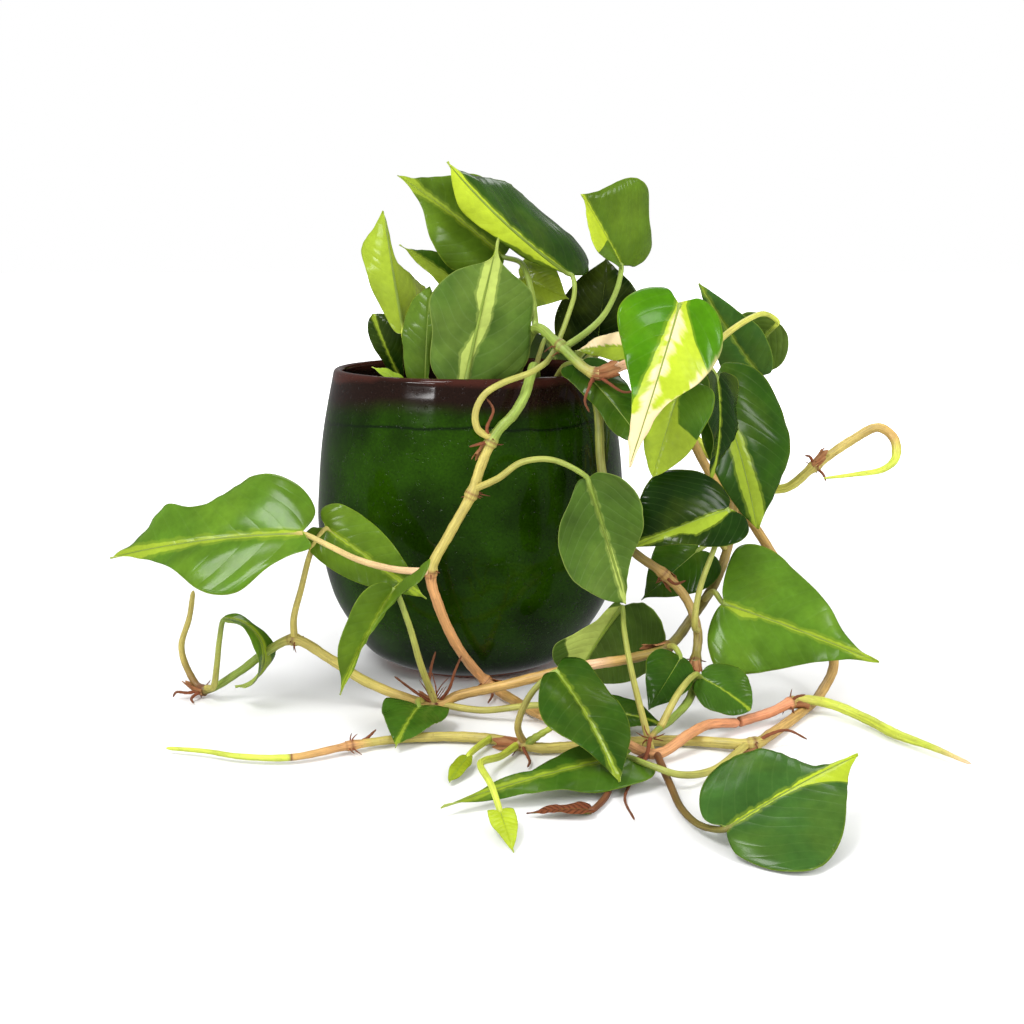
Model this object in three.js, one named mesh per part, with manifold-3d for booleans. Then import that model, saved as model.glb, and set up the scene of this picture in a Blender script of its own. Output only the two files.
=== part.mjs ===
// A trailing heart-leaf houseplant in a round glazed pot: pot, potting mix, seven vines and their leaves.
// Millimetres, +Z up. The pot's foot stands on z = 0 with its axis on the Z axis; the front is -Y.

import * as THREE from "three";
import Module from "manifold-3d";

const kernel = await Module();
kernel.setup();

// Driving dimensions of the pot
const POT_HEIGHT = 154.8;
const POT_WIDEST_RADIUS = 80;
const WALL = 4.6;
const FLOOR = 9;
const LIP_STEPS = 4;
const POT_SIDES = 36;
// Outer radius as a share of the widest, at shares of the height
const POT_SHAPE = [
  [0, 0.513],
  [0.05, 0.69],
  [0.12, 0.786],
  [0.25, 0.921],
  [0.45, 1],
  [0.62, 0.993],
  [0.8, 0.956],
  [1, 0.879],
];
const OUTER_STEPS = 10;
const INNER_STEPS = 4;

// Potting mix
const SOIL_LEVEL = 133;
const SOIL_MOUND = 5;
const SEAT_GAP = 0.3;
const FINEST_DETAIL = 0.05;

// Vines and leaf stalks
const VINE_RADIUS = 2.4;
const STALK_RADIUS = 1.6;
const STALK_TIP_RADIUS = 1.1;
const ROOT_RADIUS = 0.9;
const ROOT_TIP_RADIUS = 0.45;
const SHOOT_RADIUS = 2.1;
const SHOOT_TIP_RADIUS = 1.3;
const VINE_SIDES = 6;
const STALK_SIDES = 4;
const ROOT_SIDES = 4;
const VINE_STEP = 11;
const STALK_STEP = 15;
const ROOT_STEP = 9;
const NODE_SWELL = 0.4;
const NODE_REACH = 2.6;

// Leaf blades
const BLADE_THICKNESS = 0.85;
const LEAF_WIDTH = 0.78;
const HALF_OUTLINE_WIDTH = 0.48;
const LOBE_BACK = 0.13;

const v3 = ([x, y, z]) => new THREE.Vector3(x, y, z);

// Finishes
const paint = (color, roughness) => new THREE.MeshStandardMaterial({ color, roughness, metalness: 0 });
const FINISH = {
  glaze: paint(0x24400f, 0.15),
  soil: paint(0x3a2a1e, 0.95),
  tanVine: paint(0xb9a55c, 0.5),
  pinkVine: paint(0xd39a6c, 0.5),
  dark: paint(0x33622c, 0.4),
  mid: paint(0x4c7f35, 0.4),
  lime: paint(0xa9b82e, 0.45),
  cream: paint(0xb9c06a, 0.4),
  under: paint(0x6f8a55, 0.6),
  dry: paint(0x7a4426, 0.8),
};

// A closed solid from corner points and outward triangles
function solid(points, triangles) {
  const mesh = new kernel.Mesh({
    numProp: 3,
    vertProperties: new Float32Array(points.flatMap((p) => [p.x, p.y, p.z])),
    triVerts: new Uint32Array(triangles.flat()),
  });
  return new kernel.Manifold(mesh);
}

// A solid back as the geometry of a named mesh
function piece(name, body, finish) {
  const mesh = body.getMesh();
  const geometry = new THREE.BufferGeometry();
  geometry.setAttribute("position", new THREE.BufferAttribute(mesh.vertProperties, mesh.numProp));
  geometry.setIndex(new THREE.BufferAttribute(mesh.triVerts, 1));
  geometry.computeVertexNormals();
  const made = new THREE.Mesh(geometry, finish);
  made.name = name;
  return made;
}

// A smooth curve of [share, value] pairs, read at a share
function shapeCurve(pairs) {
  const curve = new THREE.SplineCurve(pairs.map(([share, value]) => new THREE.Vector2(share, value)));
  const samples = curve.getPoints(200);
  return (share) => {
    const after = Math.max(1, samples.findIndex((s) => s.x >= share));
    const [a, b] = [samples[after - 1], samples[after]];
    return THREE.MathUtils.mapLinear(share, a.x, b.x, a.y, b.y);
  };
}

const potShare = shapeCurve(POT_SHAPE);
const outerRadius = (z) => POT_WIDEST_RADIUS * potShare(THREE.MathUtils.clamp(z / POT_HEIGHT, 0, 0.9999));
const innerRadius = (z) => outerRadius(z) - WALL;

// A turned solid from a profile of [radius, height] that starts and ends on the axis
function turned(profile, sides) {
  const rings = profile.slice(1, -1);
  const points = [new THREE.Vector3(0, 0, profile[0][1])];
  for (const [radius, z] of rings) {
    for (let i = 0; i < sides; i++) {
      const angle = (2 * Math.PI * i) / sides;
      points.push(new THREE.Vector3(radius * Math.cos(angle), radius * Math.sin(angle), z));
    }
  }
  points.push(new THREE.Vector3(0, 0, profile.at(-1)[1]));
  const last = points.length - 1;
  const at = (ring, i) => 1 + ring * sides + (i % sides);
  const triangles = [];
  for (let i = 0; i < sides; i++) {
    triangles.push([0, at(0, i + 1), at(0, i)]);
    triangles.push([last, at(rings.length - 1, i), at(rings.length - 1, i + 1)]);
    for (let ring = 0; ring < rings.length - 1; ring++) {
      triangles.push([at(ring, i), at(ring, i + 1), at(ring + 1, i + 1)]);
      triangles.push([at(ring, i), at(ring + 1, i + 1), at(ring + 1, i)]);
    }
  }
  return solid(points, triangles);
}

// Heights of the rings of the inner wall, from the floor up
const lipBase = POT_HEIGHT - WALL / 2;
const WALL_RINGS = Array.from(
  { length: INNER_STEPS + 1 },
  (_, i) => FLOOR + ((lipBase - FLOOR) * i) / INNER_STEPS,
);

// Radius of the inner wall between two of its rings
function wallRadius(z) {
  const above = Math.max(1, WALL_RINGS.findIndex((ring) => ring >= z));
  const [low, high] = [WALL_RINGS[above - 1], WALL_RINGS[above]];
  return THREE.MathUtils.mapLinear(z, low, high, innerRadius(low), innerRadius(high));
}

// The pot: a swelling wall with a rounded lip and a flat solid foot
function pot() {
  const lipRadius = WALL / 2;
  const lipCentre = outerRadius(lipBase) - lipRadius;
  const profile = [[0, 0]];
  for (let i = 0; i <= OUTER_STEPS; i++) {
    const z = (lipBase * i) / OUTER_STEPS;
    profile.push([outerRadius(z), z]);
  }
  for (let i = 1; i < LIP_STEPS; i++) {
    const angle = (Math.PI * i) / LIP_STEPS;
    profile.push([lipCentre + lipRadius * Math.cos(angle), lipBase + lipRadius * Math.sin(angle)]);
  }
  for (const z of WALL_RINGS.toReversed()) profile.push([innerRadius(z), z]);
  profile.push([0, FLOOR]);
  return turned(profile, POT_SIDES);
}

// The potting mix: it fills the pot and rises to a low mound
function soil() {
  const profile = [[0, FLOOR + SEAT_GAP]];
  const edge = wallRadius(SOIL_LEVEL) - SEAT_GAP;
  for (const z of WALL_RINGS.filter((ring) => ring < SOIL_LEVEL)) {
    profile.push([innerRadius(z) - SEAT_GAP, Math.max(z, FLOOR + SEAT_GAP)]);
  }
  profile.push([edge, SOIL_LEVEL]);
  profile.push([edge * 0.7, SOIL_LEVEL + SOIL_MOUND * 0.55]);
  profile.push([edge * 0.35, SOIL_LEVEL + SOIL_MOUND * 0.9]);
  profile.push([0, SOIL_LEVEL + SOIL_MOUND]);
  return turned(profile, POT_SIDES);
}

// Directions across a path that turn with it and never spin
function frames(centres) {
  const along = centres.map((p, i) =>
    centres[Math.min(i + 1, centres.length - 1)]
      .clone()
      .sub(centres[Math.max(i - 1, 0)])
      .normalize(),
  );
  const start = Math.abs(along[0].z) < 0.8 ? new THREE.Vector3(0, 0, 1) : new THREE.Vector3(1, 0, 0);
  let across = start.cross(along[0]).normalize();
  return along.map((tangent) => {
    across = across.clone().addScaledVector(tangent, -across.dot(tangent)).normalize();
    return { across, other: new THREE.Vector3().crossVectors(tangent, across) };
  });
}

// A round closed tube along centres with one radius each
function tubeSolid(centres, radii, sides) {
  const turns = frames(centres);
  const points = centres.flatMap((centre, ring) =>
    Array.from({ length: sides }, (_, i) => {
      const angle = (2 * Math.PI * i) / sides;
      return centre
        .clone()
        .addScaledVector(turns[ring].across, radii[ring] * Math.cos(angle))
        .addScaledVector(turns[ring].other, radii[ring] * Math.sin(angle));
    }),
  );
  const [first, last] = [points.length, points.length + 1];
  points.push(centres[0].clone(), centres.at(-1).clone());
  const at = (ring, i) => ring * sides + (i % sides);
  const triangles = [];
  for (let i = 0; i < sides; i++) {
    triangles.push([first, at(0, i + 1), at(0, i)]);
    triangles.push([last, at(centres.length - 1, i), at(centres.length - 1, i + 1)]);
    for (let ring = 0; ring < centres.length - 1; ring++) {
      triangles.push([at(ring, i), at(ring, i + 1), at(ring + 1, i + 1)]);
      triangles.push([at(ring, i), at(ring + 1, i + 1), at(ring + 1, i)]);
    }
  }
  return solid(points, triangles);
}

// Points along a smooth path, with close ones beside each swollen node
function pathPoints(path, step, nodes = []) {
  const curve = new THREE.CatmullRomCurve3(path.map(v3), false, "centripetal");
  const spans = path.length - 1;
  const shares = [];
  for (let i = 0; i < spans; i++) {
    const length = v3(path[i]).distanceTo(v3(path[i + 1]));
    const near = Math.min(NODE_REACH / length, 0.35);
    const from = nodes.includes(i) ? near : 0;
    const to = nodes.includes(i + 1) ? 1 - near : 1;
    const parts = Math.max(1, Math.round(((to - from) * length) / step));
    if (nodes.includes(i)) shares.push(i / spans);
    for (let k = 0; k < parts; k++) shares.push((i + from + ((to - from) * k) / parts) / spans);
    if (nodes.includes(i + 1)) shares.push((i + to) / spans);
  }
  shares.push(1);
  return shares.map((share) => curve.getPoint(share));
}

// A thinning twig: a leaf stalk or an aerial root
function twig(path, startRadius, endRadius, step, sides) {
  const centres = pathPoints(path, step);
  const last = centres.length - 1;
  const radii = centres.map((_, i) => THREE.MathUtils.lerp(startRadius, endRadius, i / last));
  return tubeSolid(centres, radii, sides);
}

// A vine with swollen nodes and a tapering end; "grown" makes it thicker all round, to cut seats with
function vineSolid({ path, nodes = [], radius = VINE_RADIUS, tip = 0.5 }, grown = 0) {
  const centres = pathPoints(path, VINE_STEP, nodes);
  const swollen = nodes.map((i) => v3(path[i]));
  const radii = centres.map((centre, i) => {
    const away = Math.min(...swollen.map((n) => n.distanceTo(centre)), Infinity);
    const swell = 1 + NODE_SWELL * Math.exp(-((away / NODE_REACH) ** 2));
    const left = (centres.length - 1 - i) / (centres.length - 1);
    const taper = THREE.MathUtils.lerp(tip, 1, Math.min(1, left * 4));
    return radius * swell * taper + grown;
  });
  return tubeSolid(centres, radii, VINE_SIDES);
}

// A smooth flat curve through points
function flatCurve(points) {
  return new THREE.SplineCurve(points.map(([x, y]) => new THREE.Vector2(x, y)));
}

// Half outline of a heart-shaped blade, from the notch over the lobe to the drip tip
const OUTLINE = flatCurve([
  [0, 0],
  [0.1, -0.1],
  [0.26, -LOBE_BACK],
  [0.42, -0.03],
  [HALF_OUTLINE_WIDTH, 0.14],
  [0.43, 0.34],
  [0.28, 0.58],
  [0.11, 0.79],
  [0.025, 0.91],
  [0, 1],
]);
const MIDRIB = flatCurve([0, 0.03, 0.08, 0.15, 0.26, 0.4, 0.57, 0.76, 0.9, 1].map((y, i) => [i / 9, y]));
const BLADE_ROWS = 7;
const BLADE_COLUMNS = [-1, -0.55, 0, 0.55, 1];

// Where a point of the flat blade lies once the blade is bent, folded, curled, twisted and waved
function bladePoint(x, y, edge, leaf) {
  const { bend = 0.5, fold = [0.3, 0.3], curl = 0.4, twist = 0, wave = 0.02, waves = 2, phase = 0 } = leaf;
  const { hook = 0 } = leaf;
  const turn = Math.abs(bend) < 0.001 ? 0.001 : bend;
  const angle = turn * y;
  const reach = Math.min(1, Math.abs(x) / Math.max(edge, 0.001));
  const lift = fold[x < 0 ? 0 : 1] - 0.5 * curl * reach;
  let across = x * Math.cos(lift);
  let up = Math.abs(x) * Math.sin(lift);
  up += wave * reach * reach * Math.sin(2 * Math.PI * waves * y + phase + (x < 0 ? 1.3 : 0));
  up -= hook * Math.max(0, (y - 0.6) / 0.4) ** 2;
  const roll = twist * (y - 0.5);
  [across, up] = [
    across * Math.cos(roll) - up * Math.sin(roll),
    across * Math.sin(roll) + up * Math.cos(roll),
  ];
  return new THREE.Vector3(
    Math.sin(angle) / turn + up * Math.sin(angle),
    across,
    (Math.cos(angle) - 1) / turn + up * Math.cos(angle),
  );
}

// A point of the left (0) or right (1) margin: half width and distance along, in blade lengths
function marginPoint({ outline, width = LEAF_WIDTH, lobes = 1, full = 0.25 }, side, share) {
  if (outline) return flatCurve([[0, 0], ...outline[side], [0, 1]]).getPoint(share);
  const { x, y } = OUTLINE.getPoint(share);
  const along = y < 0 ? y * lobes : y + full * y * (1 - y);
  return new THREE.Vector2((x * width) / (2 * HALF_OUTLINE_WIDTH), along);
}

// Rows of points on the middle surface of a blade, from the stalk to the tip
function bladeRows(leaf) {
  const base = v3(leaf.base);
  const chord = v3(leaf.tip).sub(base);
  const forward = chord.clone().normalize();
  const face = v3(leaf.face);
  const upward = face.addScaledVector(forward, -face.dot(forward)).normalize();
  const sideways = new THREE.Vector3().crossVectors(forward, upward);
  const end = bladePoint(0, 1, 1, leaf);
  const tilt = Math.atan2(end.z, end.x);
  const size = chord.length() / Math.hypot(end.x, end.z);
  const place = (local) =>
    base
      .clone()
      .addScaledVector(forward, size * (local.x * Math.cos(tilt) + local.z * Math.sin(tilt)))
      .addScaledVector(upward, size * (local.z * Math.cos(tilt) - local.x * Math.sin(tilt)))
      .addScaledVector(sideways, size * local.y);
  return Array.from({ length: BLADE_ROWS + 1 }, (_, row) => {
    const share = row / BLADE_ROWS;
    const spine = MIDRIB.getPoint(share).y;
    return BLADE_COLUMNS.map((column) => {
      const margin = marginPoint(leaf, column < 0 ? 0 : 1, share);
      const y = THREE.MathUtils.lerp(spine, margin.y, Math.abs(column));
      return place(bladePoint(margin.x * column, y, margin.x, leaf));
    });
  });
}

// A blade of even thickness whose two faces are split into triangles alike
function bladeSolid(leaf) {
  const rows = bladeRows(leaf);
  const columns = BLADE_COLUMNS.length;
  const inner = rows.slice(1, -1);
  const middle = [rows[0][2], ...inner.flat(), rows.at(-1)[2]];
  const last = middle.length - 1;
  const at = (row, column) => 1 + row * columns + column;
  const faces = [];
  for (let column = 0; column < columns - 1; column++) {
    faces.push([0, at(0, column + 1), at(0, column)]);
    faces.push([last, at(inner.length - 1, column), at(inner.length - 1, column + 1)]);
    for (let row = 0; row < inner.length - 1; row++) {
      const [a, b] = [at(row, column), at(row, column + 1)];
      const [c, d] = [at(row + 1, column + 1), at(row + 1, column)];
      const slantLeft = column < (columns - 1) / 2;
      faces.push(...(slantLeft ? [[a, b, d], [b, c, d]] : [[a, b, c], [a, c, d]]));
    }
  }
  const normals = middle.map(() => new THREE.Vector3());
  for (const [a, b, c] of faces) {
    const side = middle[b].clone().sub(middle[a]).cross(middle[c].clone().sub(middle[a]));
    for (const i of [a, b, c]) normals[i].add(side);
  }
  normals.forEach((n) => n.normalize());
  const half = BLADE_THICKNESS / 2;
  const shift = (sign) => middle.map((p, i) => p.clone().addScaledVector(normals[i], sign * half));
  const points = [...shift(1), ...shift(-1)];
  const count = middle.length;
  const rim = [0];
  for (let row = 0; row < inner.length; row++) rim.push(at(row, 0));
  rim.push(last);
  for (let row = inner.length - 1; row >= 0; row--) rim.push(at(row, columns - 1));
  const triangles = faces.flatMap(([a, b, c]) => [
    [a, b, c],
    [a + count, c + count, b + count],
  ]);
  rim.forEach((a, i) => {
    const b = rim[(i + 1) % rim.length];
    triangles.push([a, b, b + count], [a, b + count, a + count]);
  });
  return solid(points, triangles);
}

// Vines. Nodes are numbers of path points that swell; roots and sheaths grow from the vine.
const VINES = {
  front_vine: {
    finish: FINISH.tanVine,
    nodes: [7, 9, 11, 14],
    path: [
      [30, -30, 133],
      [33, -46, 151],
      [32, -60, 159.8],
      [30, -75, 156.5],
      [27, -84, 148],
      [22, -86, 140],
      [16, -87, 134],
      [12, -87, 128],
      [7, -88, 116],
      [3, -89, 104],
      [-7, -91, 86],
      [-16, -93, 68],
      [-13, -91, 52],
      [-4, -82, 28],
      [9, -66, 6],
      [22, -86, 3.5],
      [38, -112, 4],
      [52, -130, 8],
      [64, -148, 8.6],
      [82, -158, 4],
      [98, -146, 8.4],
      [108, -134, 8.4],
      [124, -119, 4],
    ],
    tip: 0.9,
    roots: [
      [[12, -87, 128], [10, -90, 134], [13, -91, 143], [10, -90, 148]],
      [[12, -87, 128], [6, -90, 127], [2, -91, 126]],
      [[9, -66, 6], [12, -76, 3], [10, -84, 1.2]],
    ],
  },
  pink_vine: {
    finish: FINISH.pinkVine,
    radius: 2.3,
    nodes: [2],
    tip: 0.3,
    path: [
      [124.6, -118.5, 4.2],
      [141, -109, 5.6],
      [151, -102, 7.5],
      [160, -98, 7.6],
      [171, -100, 6],
      [184, -113, 3.4],
      [192, -131, 3],
      [203, -147, 3],
      [214, -165, 2.4],
    ],
    roots: [[[151, -102, 7.5], [153, -104, 11], [157, -105, 12.5]]],
  },
  left_vine: {
    finish: FINISH.tanVine,
    nodes: [3, 4, 14, 20, 23, 26],
    path: [
      [20, -26, 133],
      [25, -33, 158],
      [33, -45, 177],
      [44, -61, 170],
      [60, -75, 158],
      [76, -70, 162],
      [93, -58, 163],
      [110, -42, 154],
      [125, -28, 134],
      [134, -24, 108],
      [133, -34, 84],
      [128, -48, 68],
      [121, -58, 54],
      [109, -69, 40],
      [94, -91, 31],
      [76, -99, 28],
      [60, -101, 26],
      [44, -99, 22],
      [16, -97, 14],
      [-4, -96, 9],
      [-14, -97, 5],
      [-46, -92, 14],
      [-64, -90, 25],
      [-81, -88, 34],
      [-95, -84, 27],
      [-110, -79, 15],
      [-129, -72, 4],
      [-137, -67, 12],
      [-140, -66, 24],
      [-136, -64, 38],
      [-133, -66, 52],
    ],
    roots: [
      [[60, -75, 158], [57, -80, 152], [55, -83, 146], [57, -84, 141]],
      [[60, -75, 158], [66, -79, 154], [73, -81, 150], [80, -80, 151]],
      [[-14, -97, 5], [-17, -99, 14], [-16, -99, 24], [-14, -98, 31]],
      [[-14, -97, 5], [-8, -99, 13], [-5, -99, 22], [-2, -98, 29]],
      [[-14, -97, 5], [-22, -100, 11], [-33, -101, 20]],
      [[-129, -72, 4], [-136, -74, 3], [-141, -76, 4], [-143, -75, 1.2]],
      [[-129, -72, 4], [-133, -79, 2], [-131, -84, 1.2]],
    ],
  },
  floor_vine: {
    finish: FINISH.tanVine,
    nodes: [13, 18, 22],
    tip: 0.35,
    path: [
      [50, 16, 133],
      [58, 16, 152],
      [69, 15, 162],
      [86, 8, 156],
      [108, 0, 130],
      [126, -8, 98],
      [142, -28, 80],
      [155, -42, 60],
      [170, -52, 38],
      [180, -62, 16],
      [171, -78, 5],
      [157, -100, 2.8],
      [136, -132, 3.2],
      [126, -145, 3.8],
      [96, -139, 3],
      [60, -143, 3],
      [44, -147, 3],
      [34, -148, 3],
      [26, -146, 3.8],
      [12, -137, 3],
      [-6, -134, 3],
      [-28, -137, 3],
      [-48, -147, 3.8],
      [-72, -159, 3],
      [-94, -158, 3],
      [-110, -152, 3],
      [-128, -147, 2.5],
    ],
    roots: [
      [[126, -145, 3.4], [134, -142, 7], [142, -140, 8], [150, -143, 5]],
      [[26, -146, 3.8], [27, -152, 3], [29, -160, 1.6], [28, -166, 1.3]],
      [[-48, -147, 3.8], [-42, -142, 5], [-38, -139, 8]],
    ],
    shoots: [[[27, -147, 4], [33, -149, 9], [41, -149, 14]]],
  },
  hook_vine: {
    finish: FINISH.tanVine,
    nodes: [7],
    tip: 0.25,
    path: [
      [44, 26, 133],
      [53, 30, 152],
      [63, 32, 163],
      [82, 26, 156],
      [110, 14, 126],
      [138, -4, 98],
      [161, -18, 94],
      [176, -20, 106],
      [194, -20, 119],
      [207, -22, 126],
      [214, -26, 121],
      [214, -31, 112],
      [207, -36, 107],
      [191, -41, 105],
      [175, -46, 104],
    ],
    roots: [
      [[176, -20, 106], [173, -22, 111], [170, -24, 112]],
      [[176, -20, 106], [180, -23, 102], [181, -25, 99]],
    ],
  },
  hanging_vine: {
    finish: FINISH.tanVine,
    radius: 2.2,
    nodes: [7, 10, 14],
    path: [
      [48, -18, 133],
      [50, -34, 154],
      [54, -48, 161],
      [59, -60, 155],
      [62, -70, 139],
      [64, -80, 110],
      [76, -81, 78],
      [93, -80, 64],
      [104, -80, 52],
      [109, -87, 38],
      [107, -97, 26],
      [103, -114, 15],
      [92, -132, 10],
      [84, -146, 10],
      [80, -158, 11],
    ],
    roots: [
      [[93, -80, 64], [98, -84, 60], [103, -86, 62]],
      [[80, -158, 11], [78, -164, 6], [70, -182, 1.4], [66, -200, 1.3], [68, -219, 1.3]],
    ],
  },
  back_vine: {
    finish: FINISH.tanVine,
    nodes: [4, 6, 8],
    tip: 0.4,
    path: [
      [-14, 34, 133],
      [-20, 50, 152],
      [-24, 64, 161],
      [-28, 78, 156],
      [-30, 87, 140],
      [-26, 91, 118],
      [-18, 93, 98],
      [-12, 94, 78],
      [-16, 93, 58],
      [-24, 92, 42],
    ],
  },
};

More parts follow.
